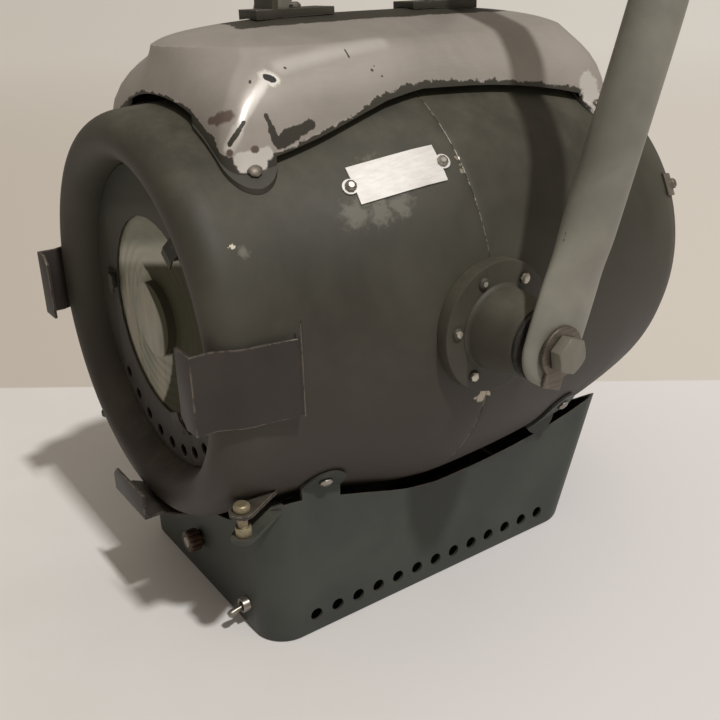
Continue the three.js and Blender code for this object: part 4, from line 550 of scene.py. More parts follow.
# Node groups
class Wiring:
    """Short words for adding nodes to one node tree."""

    def __init__(self, tree):
        self.nodes = tree.nodes
        self.links = tree.links

    def feed(self, socket, value):
        if isinstance(value, bpy.types.NodeSocket):
            self.links.new(value, socket)
        elif value is not None:
            socket.default_value = value

    def fill(self, node, **values):
        """Feeds a node's inputs by their labels, with _ for each space."""
        for label, value in values.items():
            self.feed(node.inputs[label.replace("_", " ")], value)
        return node

    def math(self, operation, a, b=None, clamp=False):
        node = self.nodes.new("ShaderNodeMath")
        node.operation = operation
        node.use_clamp = clamp
        self.feed(node.inputs[0], a)
        self.feed(node.inputs[1], b)
        return node.outputs[0]

    def plus(self, a, b):
        return self.math("ADD", a, b)

    def minus(self, a, b):
        return self.math("SUBTRACT", a, b)

    def times(self, a, b):
        return self.math("MULTIPLY", a, b)

    def higher(self, a, b):
        return self.math("MAXIMUM", a, b)

    def axes(self, place):
        """The x, y and z of a place or a direction."""
        return self.fill(self.nodes.new("ShaderNodeSeparateXYZ"), Vector=place).outputs

    def vector(self, operation, a, b=None, scale=None):
        node = self.nodes.new("ShaderNodeVectorMath")
        node.operation = operation
        self.feed(node.inputs[0], a)
        self.feed(node.inputs[1], b)
        if operation == "SCALE":
            self.feed(node.inputs["Scale"], scale)
        return node.outputs[1 if operation in ("DISTANCE", "DOT_PRODUCT") else 0]

    def ramp(self, value, low, high, start=0.0, end=1.0):
        node = self.nodes.new("ShaderNodeMapRange")
        node.interpolation_type = "SMOOTHSTEP"
        for socket, item in zip(node.inputs, (value, low, high, start, end)):
            self.feed(socket, item)
        return node.outputs[0]

    def fall(self, value, low, high):
        """Full below low and nothing above high."""
        return self.ramp(value, low, high, 1.0, 0.0)

    def noise(self, place, scale, detail=3.0, rough=0.6, stretch=0.0):
        return self.fill(self.nodes.new("ShaderNodeTexNoise"), Vector=place, Scale=scale, Detail=detail,
                         Roughness=rough, Distortion=stretch).outputs[0]

    def mix(self, share, a, b):
        node = self.nodes.new("ShaderNodeMix")
        node.data_type = "RGBA"
        for socket, item in ((0, share), (6, a), (7, b)):
            self.feed(node.inputs[socket], item)
        return node.outputs[2]

    def place(self):
        return self.nodes.new("ShaderNodeTexCoord").outputs["Object"]

    def scaled(self, place, scale):
        return self.fill(self.nodes.new("ShaderNodeMapping"), Vector=place, Scale=scale).outputs[0]

    def bump(self, height, strength, distance):
        return self.fill(self.nodes.new("ShaderNodeBump"), Height=height, Strength=strength,
                         Distance=distance).outputs[0]

    def group(self, group, **values):
        node = self.nodes.new("ShaderNodeGroup")
        node.node_tree = group
        return self.fill(node, **values).outputs


def new_group(name, inputs, outputs):
    """A node group with its wiring, what it is given and what it gives; every output is a number."""
    group = bpy.data.node_groups.new(name, "ShaderNodeTree")
    for label, value in inputs.items():
        kind = "NodeSocketVector" if isinstance(value, tuple) else "NodeSocketFloat"
        group.interface.new_socket(name=label, in_out="INPUT", socket_type=kind).default_value = value
    for label in outputs:
        group.interface.new_socket(name=label, in_out="OUTPUT", socket_type="NodeSocketFloat")
    w = Wiring(group)
    return group, w, w.nodes.new("NodeGroupInput").outputs, w.nodes.new("NodeGroupOutput")


def build_wear_group():
    """Where paint is rubbed off edges and chipped, how its tone drifts, its fine grain and its dust."""
    group, w, given, result = new_group(
        "paint wear", {"Edge width": 0.0012, "Edge wear": 0.5, "Chip amount": 0.1},
        ["Bare", "Tone", "Grain", "Dust"])
    place = w.place()
    bevel = w.nodes.new("ShaderNodeBevel")
    bevel.samples = 4
    w.fill(bevel, Radius=given["Edge width"])
    flat = w.nodes.new("ShaderNodeNewGeometry").outputs["Normal"]
    bend = w.minus(1.0, w.vector("DOT_PRODUCT", bevel.outputs[0], flat))
    ragged = w.noise(place, 140.0, 4.0, 0.7)
    edge = w.times(w.ramp(bend, 0.02, 0.22), w.ramp(ragged, 0.35, 0.62))
    edge = w.times(edge, given["Edge wear"])
    limit = w.minus(0.80, w.times(given["Chip amount"], 0.25))
    chips = w.ramp(w.noise(place, 60.0, 5.0, 0.62), limit, w.plus(limit, 0.012))
    upwards = w.ramp(w.axes(flat)[2], 0.25, 1.0)
    patches = w.ramp(w.noise(place, 24.0, 6.0, 0.7), 0.35, 0.7)
    w.fill(result, Bare=w.higher(w.ramp(edge, 0.30, 0.42), chips), Tone=w.noise(place, 11.0, 5.0, 0.6, 0.4),
           Grain=w.noise(place, 900.0, 3.0, 0.65), Dust=w.times(upwards, patches))
    return group


def ragged_mask(w, given, place, reach):
    """Full where the reach is under one, with an uneven edge."""
    uneven = w.minus(w.noise(place, 230.0, 4.0, 0.65), 0.5)
    uneven = w.times(w.times(uneven, given["Raggedness"]), 4.0)
    return w.fall(w.plus(reach, uneven), w.minus(1.0, given["Softness"]), w.plus(1.0, given["Softness"]))


RAGGED_INPUTS = {"Radius": 0.005, "Raggedness": 0.5, "Softness": 0.1}


def build_spot_group():
    """A ragged round spot about a point of the object."""
    group, w, given, result = new_group("ragged spot", {"Centre": (0, 0, 0), **RAGGED_INPUTS}, ["Mask"])
    place = w.place()
    reach = w.math("DIVIDE", w.vector("DISTANCE", place, given["Centre"]), given["Radius"])
    w.fill(result, Mask=ragged_mask(w, given, place, reach))
    return group


def build_streak_group():
    """A ragged band along a line between two points of the object."""
    ends = {"Start": (0, 0, 0), "End": (0, 0, 0)}
    group, w, given, result = new_group("ragged streak", {**ends, **RAGGED_INPUTS}, ["Mask"])
    place = w.place()
    span = w.vector("SUBTRACT", given["End"], given["Start"])
    offset = w.vector("SUBTRACT", place, given["Start"])
    length = w.vector("DOT_PRODUCT", span, span)
    share = w.math("DIVIDE", w.vector("DOT_PRODUCT", offset, span), length, clamp=True)
    distance = w.vector("DISTANCE", offset, w.vector("SCALE", span, scale=share))
    reach = w.math("DIVIDE", distance, given["Radius"])
    w.fill(result, Mask=ragged_mask(w, given, place, reach))
    return group


def build_barrel_group():
    """How far a point stands off the barrel's skin."""
    group, w, given, result = new_group("off the barrel", {}, ["Distance"])
    x, y, z = w.axes(w.place())
    height = w.minus(z, AXIS)
    radial = w.math("SQRT", w.plus(w.times(x, x), w.times(height, height)))
    length = FRONT_LENGTH + REAR_LENGTH
    curve = w.nodes.new("ShaderNodeFloatCurve")
    w.fill(curve, Value=w.math("DIVIDE", w.plus(y, FRONT_LENGTH), length, clamp=True))
    line = curve.mapping.curves[0]
    stations = [((1 - along) * FRONT_LENGTH / length, drop) for along, drop in reversed(FRONT_TAPER)]
    stations += [((FRONT_LENGTH + along * REAR_LENGTH) / length, drop) for along, drop in REAR_TAPER[1:]]
    line.points[0].location = stations[0]
    line.points[1].location = stations[-1]
    for station in stations[1:-1]:
        line.points.new(*station)
    curve.mapping.update()
    taper = w.times(curve.outputs[0], BARREL_RADIUS - (FRONT_RADIUS + REAR_RADIUS) / 2)
    w.fill(result, Distance=w.minus(radial, w.minus(BARREL_RADIUS, taper)))
    return group


def build_scratch_group():
    """Fine scratches along one direction, and a soft drift of tone."""
    group, w, given, result = new_group("fine scratches", {"Scale": 1.0}, ["Lines", "Tone"])
    place = w.place()
    drawn = w.vector("SCALE", w.scaled(place, (60.0, 6.0, 60.0)), scale=given["Scale"])
    w.fill(result, Lines=w.noise(drawn, 14.0, 4.0, 0.7), Tone=w.noise(place, 22.0, 5.0, 0.6, 0.6))
    return group


wear = build_wear_group()
spot = build_spot_group()
streak = build_streak_group()
off_barrel = build_barrel_group()
scratches = build_scratch_group()


# Materials
def new_material(name):
    material = bpy.data.materials.new(name)
    material.use_nodes = True
    tree = material.node_tree
    return material, Wiring(tree), tree.nodes["Principled BSDF"]


def most(w, masks):
    result = masks[0]
    for mask in masks[1:]:
        result = w.higher(result, mask)
    return result


def spots(w, places, softness=0.1):
    """One mask for a list of (centre, radius, raggedness)."""
    return most(w, [
        w.group(spot, Centre=centre, Radius=radius, Raggedness=ragged, Softness=softness)[0]
        for centre, radius, ragged in places])


def streaks(w, bands, softness=0.1):
    """One mask for a list of (start, end, radius, raggedness)."""
    return most(w, [
        w.group(streak, Start=start, End=end, Radius=radius, Raggedness=ragged, Softness=softness)[0]
        for start, end, radius, ragged in bands])


# Old paint: its dust, its scuffs and the brown tone low on the lamp, between two heights
PAINT_SHEEN = 0.36
DUST = linear(150, 140, 120)
DUST_SHARE = 0.16
SCUFF = linear(140, 136, 124)
SCUFF_SHARE = 0.42
SCUFF_SOFTNESS = 0.6
FOOT_BAND = (0.10, 0.26)
FOOT_SHARE = 0.75


def paint(name, dark, light, bare, edge_wear, chip_amount, roughness, chips=(), scuffs=(), edge_width=0.0012,
          foot=None):
    """Old paint: its tone drifts from dark to light, dust lies on it and bare metal shows where it's gone."""
    material, w, shader = new_material(name)
    masks = w.group(wear, Edge_width=edge_width, Edge_wear=edge_wear, Chip_amount=chip_amount)
    tone = w.ramp(masks["Tone"], 0.30, 0.72)
    colour = w.mix(tone, linear(*dark), linear(*light))
    if foot:
        height = w.axes(w.place())[2]
        colour = w.mix(w.ramp(height, *FOOT_BAND, FOOT_SHARE, 0.0), colour, linear(*foot))
    colour = w.mix(w.times(masks["Dust"], DUST_SHARE), colour, DUST)
    if scuffs:
        colour = w.mix(w.times(spots(w, scuffs, SCUFF_SOFTNESS), SCUFF_SHARE), colour, SCUFF)
    gone = masks["Bare"]
    if chips:
        gone = w.higher(gone, spots(w, chips))
    shine = w.plus(roughness, w.times(w.minus(tone, 0.5), 0.12))
    height = w.minus(w.times(masks["Grain"], 0.25), gone)
    w.fill(shader, Base_Color=w.mix(gone, colour, linear(*bare)), Metallic=w.times(gone, 0.7),
           Specular_IOR_Level=PAINT_SHEEN, Roughness=w.minus(shine, w.times(gone, 0.12)),
           Normal=w.bump(height, 0.25, 0.0004))
    return material


def metal(name, dark, light, metallic, roughness, line_scale=1.0, relief=0.12):
    """Plain metal with fine scratches and a dulled, uneven tone."""
    material, w, shader = new_material(name)
    lines = w.group(scratches, Scale=line_scale)
    share = w.plus(w.times(lines["Lines"], 0.45), w.times(lines["Tone"], 0.75))
    w.fill(shader, Base_Color=w.mix(w.ramp(share, 0.38, 0.82), linear(*dark), linear(*light)),
           Metallic=metallic, Roughness=w.ramp(lines["Tone"], 0.3, 0.75, roughness, roughness + 0.16),
           Normal=w.bump(lines["Lines"], relief, 0.0003))
    return material


# Bare and rubbed places on the barrel: (centre, radius, raggedness)
BODY_CHIPS = [
    ((0.1436, -0.0035, 0.1613), 0.0050, 0.9),
    ((0.1440, -0.0065, 0.1705), 0.0018, 0.9),
    ((0.1142, -0.0010, 0.2995), 0.0014, 0.9),
    ((0.1195, -0.0012, 0.2929), 0.0013, 0.9),
    ((0.1171, -0.0012, 0.2960), 0.0008, 0.9),
    ((0.1075, -0.1447, 0.2724), 0.0016, 0.9),
]
BODY_SCUFFS = [
    ((0.1143, -0.0718, 0.2787), 0.0075, 0.7),
    ((0.1174, -0.0586, 0.2793), 0.0070, 0.9),
    ((0.1198, -0.0466, 0.2805), 0.0060, 0.9),
    ((0.1098, -0.1394, 0.2693), 0.0026, 0.9),
    ((0.1080, -0.0560, 0.3060), 0.0080, 0.8),
]


def hub_circle(x, turn):
    """A place on the circle of the hub's screws."""
    return (x, HUB_SCREW_CIRCLE * math.cos(turn), PIVOT + HUB_SCREW_CIRCLE * math.sin(turn))


HUB_BRIGHT = [
    (hub_circle(HUB_BRIGHT_X, HUB_SCREW_TURN + math.radians(turn)), size, 0.5)
    for turn, size in ((0, 0.0034), (60, 0.0014), (120, 0.0022), (180, 0.0026))
]

olive = paint("olive paint", (53, 51, 43), (72, 70, 60), (172, 164, 148), 0.75, 0.10, 0.60,
              BODY_CHIPS, BODY_SCUFFS, foot=(57, 49, 44))
# A darker copy of the olive paint for the lens plate and lens clips in the front recess: painted shade
shaded_rim_olive = paint("rim paint", (48, 48, 41), (66, 65, 56), (126, 114, 98), 0.6, 0.08, 0.6, foot=(52, 45, 41))
hub_olive = paint("hub paint", (52, 50, 43), (71, 68, 58), (206, 200, 186), 0.2, 0.10, 0.55, HUB_BRIGHT)
bracket_olive = paint("bracket paint", (43, 38, 35), (58, 51, 47), (150, 140, 126), 1.3, 0.18, 0.55,
                      edge_width=0.0016)
green = paint("green paint", (49, 53, 49), (66, 70, 64), (98, 84, 74), 0.8, 0.14, 0.55)
grey_green = paint("yoke paint", (110, 108, 99), (136, 133, 123), (88, 78, 70), 0.45, 0.12, 0.42)
bolt_paint = paint("bolt paint", (98, 95, 85), (128, 124, 113), (92, 74, 62), 0.8, 0.3, 0.45)
handle_paint = paint("handle paint", (54, 52, 44), (78, 75, 66), (150, 146, 136), 1.0, 0.25, 0.5)
steel = metal("plain steel", (112, 106, 98), (186, 180, 170), 0.9, 0.32)
dull_steel = metal("dull steel", (84, 76, 68), (132, 124, 114), 0.8, 0.42)
plate_metal = metal("plate aluminium", (190, 186, 181), (228, 224, 220), 0.15, 0.42, 0.6, 0.2)
brass = metal("dull brass", (116, 106, 84), (172, 160, 130), 0.6, 0.42)
mirror = metal("mirror", (200, 200, 198), (232, 232, 230), 1.0, 0.08)
bright_aluminium = metal("cast aluminium", (150, 148, 142), (196, 194, 188), 0.85, 0.4)


def plain(name, dark, light, roughness, scale, relief):
    """A moulded or fired material with a slight mottle."""
    material, w, shader = new_material(name)
    mottle = w.noise(w.place(), scale, 5.0, 0.6)
    w.fill(shader, Base_Color=w.mix(w.ramp(mottle, 0.3, 0.7), linear(*dark), linear(*light)),
           Roughness=w.ramp(mottle, 0.25, 0.75, roughness, roughness + 0.12),
           Normal=w.bump(mottle, relief, 0.0003))
    return material


bakelite = plain("brown moulding", (52, 34, 24), (86, 58, 40), 0.32, 120.0, 0.12)
fibre = plain("black fibre", (30, 28, 26), (52, 48, 44), 0.62, 260.0, 0.3)
ceramic = plain("fired clay", (214, 206, 190), (236, 230, 218), 0.3, 90.0, 0.08)


# Marks on the vent cap: (start, end, radius, raggedness) or (centre, radius, raggedness)
CAP_DARK_STREAKS = [
    ((0.0818, -0.1057, 0.3307), (0.0839, -0.1038, 0.3235), 0.0013, 0.4),
    ((0.0839, -0.1038, 0.3235), (0.0852, -0.1010, 0.3160), 0.0026, 0.4),
    ((0.0850, -0.0990, 0.3170), (0.0846, -0.0905, 0.3205), 0.0042, 0.3),
    ((0.0846, -0.0905, 0.3205), (0.0842, -0.0800, 0.3235), 0.0030, 0.4),
    ((0.0819, -0.1190, 0.3291), (0.0821, -0.1224, 0.3254), 0.0009, 0.3),
    ((0.0821, -0.1224, 0.3254), (0.0810, -0.1277, 0.3187), 0.0014, 0.3),
    ((0.0637, -0.0419, 0.3586), (0.0675, -0.0419, 0.3550), 0.0006, 0.5),
    ((0.0705, -0.1076, 0.3478), (0.0712, -0.1080, 0.3470), 0.0007, 0.5),
]
CAP_DARK_SPOTS = [
    ((0.0745, -0.0311, 0.3476), 0.0009, 0.6),
    ((0.0772, -0.0261, 0.3441), 0.0008, 0.6),
    ((0.0732, -0.0287, 0.3495), 0.0006, 0.6),
    ((0.0679, -0.0843, 0.3524), 0.0009, 0.6),
]
CAP_RUST_STREAKS = [
    ((0.0638, -0.1295, 0.3288), (0.0705, -0.1281, 0.3304), 0.0022, 0.3),
    ((0.0705, -0.1281, 0.3304), (0.0757, -0.1248, 0.3321), 0.0034, 0.3),
    ((0.0818, -0.1285, 0.3143), (0.0818, -0.1286, 0.3142), 0.0019, 0.3),
    ((0.0853, -0.1162, 0.3148), (0.0853, -0.1150, 0.3147), 0.0019, 0.3),
]
# Painted highlight along the crease at the cap's front corner: (start, end, radius, raggedness)
CAP_CREASE_HIGHLIGHT = [
    ((0.0708, -0.0974, 0.3490), (0.0763, -0.1071, 0.3416), 0.0024, 0.1),
    ((0.0763, -0.1071, 0.3416), (0.0801, -0.1159, 0.3336), 0.0022, 0.1),
    ((0.0801, -0.1159, 0.3336), (0.0818, -0.1234, 0.3250), 0.0019, 0.1),
    ((0.0818, -0.1234, 0.3250), (0.0812, -0.1286, 0.3163), 0.0026, 0.1),
]
CAP_BARE_STREAKS = [
    ((0.0849, -0.1246, 0.3106), (0.0857, -0.1085, 0.3118), 0.0036, 0.2),
    ((0.0860, -0.1225, 0.3070), (0.0866, -0.1130, 0.3075), 0.0042, 0.2),
    ((0.0834, 0.1395, 0.3259), (0.0880, 0.1470, 0.3050), 0.0080, 0.4),
]
# Worn, lighter metal along the ridge with a painted highlight on it
CAP_RIDGE_WEAR_AND_HIGHLIGHT = [
    ((0.0666, -0.0866, 0.3535), (0.0635, -0.0520, 0.3582), 0.0042, 0.1),
    ((0.0635, -0.0520, 0.3582), (0.0616, -0.0157, 0.3612), 0.0042, 0.1),
]
CAP_HOLE = (0.0708, -0.0974, 0.3490)
CAP_HOLE_TAIL = (0.0722, -0.0950, 0.3478)

# Paint left on the cap: a band along its edge, its two rear tips and its crown
CAP_PAINT_BAND = (CAP_GAP + 0.0016, CAP_GAP + 0.0022)
CAP_TIP_HEIGHT = (0.3036, 0.3046)
CAP_CROWN_HALF_WIDTH = (0.0235, 0.0255)
CAP_CROWN_HALF_LENGTH = (0.1025, 0.1045)
CAP_CROWN_CENTRE = 0.0175


def build_cap_finish():
    """The cap: paint rubbed down to dull grey metal, with dark remains along its edges and its crown, and
    painted highlights along its front crease, its ridge and its edges.
    """
    material, w, shader = new_material("worn cap")
    # The wide worn-edge mask here is also a painted highlight along the cap's edges and ridge
    masks = w.group(wear, Edge_width=0.004, Edge_wear=1.0, Chip_amount=0.0)
    lines = w.group(scratches, Scale=0.7)
    place = w.place()
    x, y, z = w.axes(place)
    off_shell = w.group(off_barrel)[0]
    ragged = w.times(w.minus(w.noise(place, 90.0, 5.0, 0.7), 0.5), 0.008)
    edge_paint = w.fall(w.plus(off_shell, ragged), *CAP_PAINT_BAND)
    # Bare streaks together with the painted highlight along the front crease
    bare = w.higher(streaks(w, CAP_BARE_STREAKS, 0.2), streaks(w, CAP_CREASE_HIGHLIGHT, 0.7))
    edge_paint = w.times(edge_paint, w.minus(1.0, bare))
    low = w.fall(w.plus(z, w.times(ragged, 0.4)), *CAP_TIP_HEIGHT)
    tip = w.times(low, w.fall(y, -0.01, 0.01))
    crown_x = w.fall(w.plus(w.math("ABSOLUTE", x), ragged), *CAP_CROWN_HALF_WIDTH)
    along = w.math("ABSOLUTE", w.minus(y, CAP_CROWN_CENTRE))
    crown_y = w.fall(w.plus(along, ragged), *CAP_CROWN_HALF_LENGTH)
    remains = most(w, [edge_paint, tip, w.times(crown_x, crown_y), streaks(w, CAP_DARK_STREAKS),
                       spots(w, CAP_DARK_SPOTS)])
    rust = streaks(w, CAP_RUST_STREAKS, 0.3)
    hole = streaks(w, [(CAP_HOLE, CAP_HOLE_TAIL, 0.0023, 0.3)])
    ring = streaks(w, [(CAP_HOLE, CAP_HOLE_TAIL, 0.0044, 0.35)], 0.3)
    # Bright metal: bare streaks, the painted crease highlight, the bare ring round the hole and half the
    # worn-edge mask, which paints an edge highlight
    bright = w.higher(w.higher(bare, ring), w.times(masks["Bare"], 0.5))
    # The ridge's worn metal and painted highlight; rubbed holds all the bright metal and painted highlights
    ridge = w.times(streaks(w, CAP_RIDGE_WEAR_AND_HIGHLIGHT, 0.9), 0.35)
    rubbed = w.higher(bright, ridge)
    drift = w.ramp(masks["Tone"], 0.3, 0.72)
    grey = w.mix(drift, linear(148, 141, 133), linear(170, 162, 155))
    grey = w.mix(w.times(lines["Lines"], 0.35), grey, linear(182, 174, 166))
    colour = w.mix(rubbed, grey, linear(236, 231, 225))
    colour = w.mix(rust, colour, linear(92, 78, 70))
    colour = w.mix(remains, colour, linear(54, 51, 42))
    colour = w.mix(hole, colour, linear(22, 18, 16))
    covered = most(w, [remains, rust, hole])
    dullness = w.ramp(rubbed, 0.0, 1.0, 0.46, 0.32)
    relief = w.plus(w.times(lines["Lines"], 0.2), w.minus(remains, hole))
    w.fill(shader, Base_Color=colour,
           Metallic=w.times(w.minus(1.0, covered), w.ramp(rubbed, 0.0, 1.0, 0.34, 0.6)),
           Roughness=w.plus(dullness, w.times(covered, 0.14)), Normal=w.bump(relief, 0.22, 0.0004))
    return material


cap_finish = build_cap_finish()


def build_bulb_glass():
    """Clear glass, slightly uneven."""
    material, w, shader = new_material("bulb glass")
    drift = w.noise(w.place(), 30.0, 4.0, 0.6)
    w.fill(shader, Base_Color=w.mix(w.ramp(drift, 0.3, 0.7), linear(236, 238, 234), linear(248, 250, 246)),
           Roughness=w.ramp(drift, 0.3, 0.7, 0.02, 0.10), Transmission_Weight=0.95, IOR=GLASS_BENDING)
    return material


def build_lens_glass():
    """Old pressed glass: greenish and hazy, with painted reflections in it: a bright band, milky and brown
    upright streaks and a darker right side.
    """
    material, w, shader = new_material("lens glass")
    place = w.place()
    drift = w.ramp(w.noise(place, 30.0, 4.0, 0.6), 0.3, 0.7)
    x, y, z = w.axes(place)
    rise = w.minus(z, LENS_ARC_HEIGHT)
    above = w.higher(rise, 0.0)
    below = w.math("MINIMUM", rise, 0.0)
    bend_above = w.times(w.times(above, above), LENS_ARC_BENDS[0])
    bend_below = w.times(w.times(below, below), LENS_ARC_BENDS[1])
    bend = w.plus(bend_above, bend_below)
    # Painted reflections: a dark right side past a curved boundary, a bright band, and milky and brown
    # upright streaks
    past_arc = w.ramp(w.plus(x, w.minus(bend, LENS_ARC_REACH)), -LENS_ARC_EDGE, LENS_ARC_EDGE)
    band = w.minus(z, w.times(x, LENS_BAND_SLOPE))
    under = w.fall(band, *LENS_UNDER_BAND)
    dark = w.times(under, past_arc)
    bright = w.times(w.ramp(band, *LENS_BAND_FOOT), w.fall(band, *LENS_BAND_TOP))
    drawn = w.noise(w.scaled(place, (110.0, 0.0, 10.0)), 1.0, 2.0, 0.5, 0.6)
    milky = w.times(w.ramp(drawn, 0.36, 0.62), w.times(under, w.minus(1.0, dark)))
    brown = w.times(w.fall(drawn, 0.34, 0.42), w.times(under, w.ramp(z, *LENS_BROWN_FOOT)))
    clear = w.mix(drift, linear(122, 124, 107), linear(138, 139, 122))
    colour = w.mix(w.times(bright, 0.8), clear, linear(190, 189, 172))
    colour = w.mix(w.times(milky, 0.8), colour, linear(160, 152, 132))
    colour = w.mix(w.times(brown, 0.7), colour, linear(120, 104, 88))
    colour = w.mix(w.times(dark, 0.95), colour, linear(58, 56, 42))
    w.fill(shader, Base_Color=colour, Roughness=w.plus(0.42, w.times(dark, 0.3)),
           Specular_IOR_Level=w.minus(0.4, w.times(dark, 0.3)),
           Transmission_Weight=w.times(w.minus(1.0, dark), 0.16), IOR=GLASS_BENDING)
    return material


lens_glass = build_lens_glass()
bulb_glass = build_bulb_glass()


# Camera, light and floor
ROOM_COLOUR = linear(222, 212, 198)
ROOM_LIGHT = 0.36
SUN_TOWARDS = (0.5446, 0.0163, 0.8386)
SUN_STRENGTH = 2.1
SUN_SPREAD = math.radians(3.2)
SUN_COLOUR = (1.0, 0.99, 0.97)
SOFT_BOX_HEIGHT = 2.4
SOFT_BOX_SIZE = 3.0
SOFT_BOX_POWER = 8.0
SOFT_BOX_COLOUR = (1.0, 0.93, 0.82)
FLOOR_SIZE = 60
TABLE_EDGE = (0.2511, 0.2551)
TABLE_EDGE_SLOPE = 0.0446
WALL_RISE = (0.4, 5.0)


def add(name, data):
    """Puts a camera or a lamp in the scene."""
    piece = bpy.data.objects.new(name, data)
    bpy.context.collection.objects.link(piece)
    piece.rotation_mode = "QUATERNION"
    return piece


def add_camera():
    level = math.cos(CAMERA_ELEVATION)
    back = Vector((math.sin(CAMERA_AZIMUTH) * level, -math.cos(CAMERA_AZIMUTH) * level,
                   math.sin(CAMERA_ELEVATION)))
    camera = add("camera", bpy.data.cameras.new("camera"))
    camera.data.sensor_width = 36
    camera.data.lens = CAMERA_LENS
    camera.rotation_quaternion = back.to_track_quat("Z", "Y") @ Quaternion((0, 0, 1), CAMERA_ROLL)
    camera.location = CAMERA_PLACE
    bpy.context.scene.camera = camera


def add_light():
    world = bpy.data.worlds.new("room")
    bpy.context.scene.world = world
    world.use_nodes = True
    background = world.node_tree.nodes["Background"]
    background.inputs["Color"].default_value = ROOM_COLOUR
    background.inputs["Strength"].default_value = ROOM_LIGHT
    sun = add("ceiling_light", bpy.data.lights.new("ceiling_light", "SUN"))
    sun.data.energy = SUN_STRENGTH
    sun.data.angle = SUN_SPREAD
    sun.data.color = SUN_COLOUR
    sun.location = Vector(SUN_TOWARDS) * 2
    sun.rotation_quaternion = Vector(SUN_TOWARDS).to_track_quat("Z", "Y")
    box = add("soft_box", bpy.data.lights.new("soft_box", "AREA"))
    box.data.size = SOFT_BOX_SIZE
    box.data.energy = SOFT_BOX_POWER
    box.data.color = SOFT_BOX_COLOUR
    box.location = (0, 0, SOFT_BOX_HEIGHT)


def add_floor():
    """A wide plane: a pale table up to the line seen in the photo, and a wall's tone past it, both with
    painted light that brightens them to the right, and painted shade at the wall's foot.
    """
    bpy.ops.object.select_all(action="DESELECT")
    bpy.ops.mesh.primitive_plane_add(size=FLOOR_SIZE, location=(0, 0, 0))
    floor = bpy.context.object
    floor.name = "floor"
    material, w, shader = new_material("floor")
    place = w.place()
    forward = (-math.sin(CAMERA_AZIMUTH), math.cos(CAMERA_AZIMUTH), 0)
    sideways = (math.cos(CAMERA_AZIMUTH), math.sin(CAMERA_AZIMUTH), 0)
    depth = w.vector("DOT_PRODUCT", place, forward)
    across = w.vector("DOT_PRODUCT", place, sideways)
    past_table = w.ramp(w.plus(depth, w.times(across, TABLE_EDGE_SLOPE)), *TABLE_EDGE)
    bearing = w.math("DIVIDE", across, w.plus(depth, CAMERA_DEPTH))
    stains = w.noise(place, 3.0, 5.0, 0.6)
    table = w.mix(w.ramp(stains, 0.3, 0.7), linear(219, 215, 211), linear(227, 223, 220))
    # Painted light: the table grows brighter towards the right
    table = w.mix(w.ramp(bearing, -0.3, 0.4), table, linear(234, 230, 230))
    # Painted light and shade on the wall: brighter to the right, darker at its foot by the table
    painted_light_across_wall = w.ramp(bearing, -0.42, 0.40)
    shaded_wall_foot = w.mix(painted_light_across_wall, linear(197, 188, 177), linear(220, 213, 204))
    lit_wall_top = w.mix(painted_light_across_wall, linear(217, 211, 202), linear(236, 232, 226))
    wall = w.mix(w.ramp(depth, *WALL_RISE), shaded_wall_foot, lit_wall_top)
    w.fill(shader, Base_Color=w.mix(past_table, table, wall), Roughness=0.75)
    floor.data.materials.append(material)


add_camera()
add_light()
add_floor()


# Barrel shells
def build_front_shell():
    """The front shell: its skin, its rolled rim, its vents and the two upper latch ears."""
    line = front_line()
    stations = [(BARREL_RADIUS - SEAM_DROP, -FIT / 2), (BARREL_RADIUS, -FIT / 2 - SEAM_ROUND)]
    stations += line[1:]
    stations += roll_line()[1:]
    stations.append((FRONT_RADIUS - ROLL_WIDTH, -FRONT_LENGTH + LIP_RETURN))
    shell = ring_sheet("front_shell_sheet", stations)
    open_vents(shell)
    outwards(shell)
    smooth(shell, 1)
    thicken(shell, SHEET, -1)
    inside = barrel_solid("inside_form", -SHEET / 2)
    for side in (1, -1):
        ear = latch_ear("shell_ear", *SHELL_EAR, side)
        combine(ear, inside, "DIFFERENCE", keep=True)
        combine(shell, ear, "UNION")
    bpy.data.objects.remove(inside)
    return dress(shell, "housing", "olive_paint", olive, "front_shell", angle=50)


def build_rear_shell():
    """The rear shell with its vents and its domed end."""
    line = rear_line()
    stations = [(BARREL_RADIUS - SEAM_DROP, FIT / 2), (BARREL_RADIUS, FIT / 2 + SEAM_ROUND)]
    stations += line[1:]
    shell = ring_sheet("rear_shell_sheet", stations)
    open_vents(shell)
    outwards(shell)
    smooth(shell, 1)
    thicken(shell, SHEET, -1)
    return dress(shell, "housing", "olive_paint", olive, "rear_shell", angle=50)


# Vent cap
def cap_tongues():
    """The four tongues seen from above, each round at its tip."""
    prisms = []
    for side in (-1, 1):
        x = side * (TAB_TIP - TAB_HALF_WIDTH)
        for y in (TAB_FRONT, TAB_REAR):
            piece = begin("tongue", bpy.ops.mesh.primitive_cylinder_add, vertices=32, radius=TAB_HALF_WIDTH,
                          depth=TAB_TOP - TAB_FOOT, location=(x, y, (TAB_TOP + TAB_FOOT) / 2))
            pick(piece, "VERT", lambda v: side * (v.co.x - x) < -NEAR)
            shift(-side * TAB_REACH, 0, 0)
            close()
            prisms.append(piece)
    return join(prisms, "cap_tongues")


def cap_block(low, top):
    """The block that the hood starts from, with round corners and points enough to draw it in."""
    hood = begin("vent_cap_sheet", bpy.ops.mesh.primitive_cube_add, size=1,
                 location=(0, CAP_CENTRE, (top + low) / 2),
                 scale=(2 * CAP_HALF_WIDTH, 2 * CAP_HALF_LENGTH, top - low))
    pick(hood, "EDGE", lambda e: height_span(e) > 0.01)
    bpy.ops.mesh.bevel(offset=CAP_CORNER, segments=5)
    pick(hood, "EDGE", lambda e: e.calc_length() > 0.2)
    bpy.ops.mesh.subdivide(number_cuts=7)
    pick(hood, "EDGE", lambda e: 0.1 < e.calc_length() < 0.2 and abs(middle(e).y - CAP_CENTRE) > 0.14)
    bpy.ops.mesh.subdivide(number_cuts=4)
    return hood


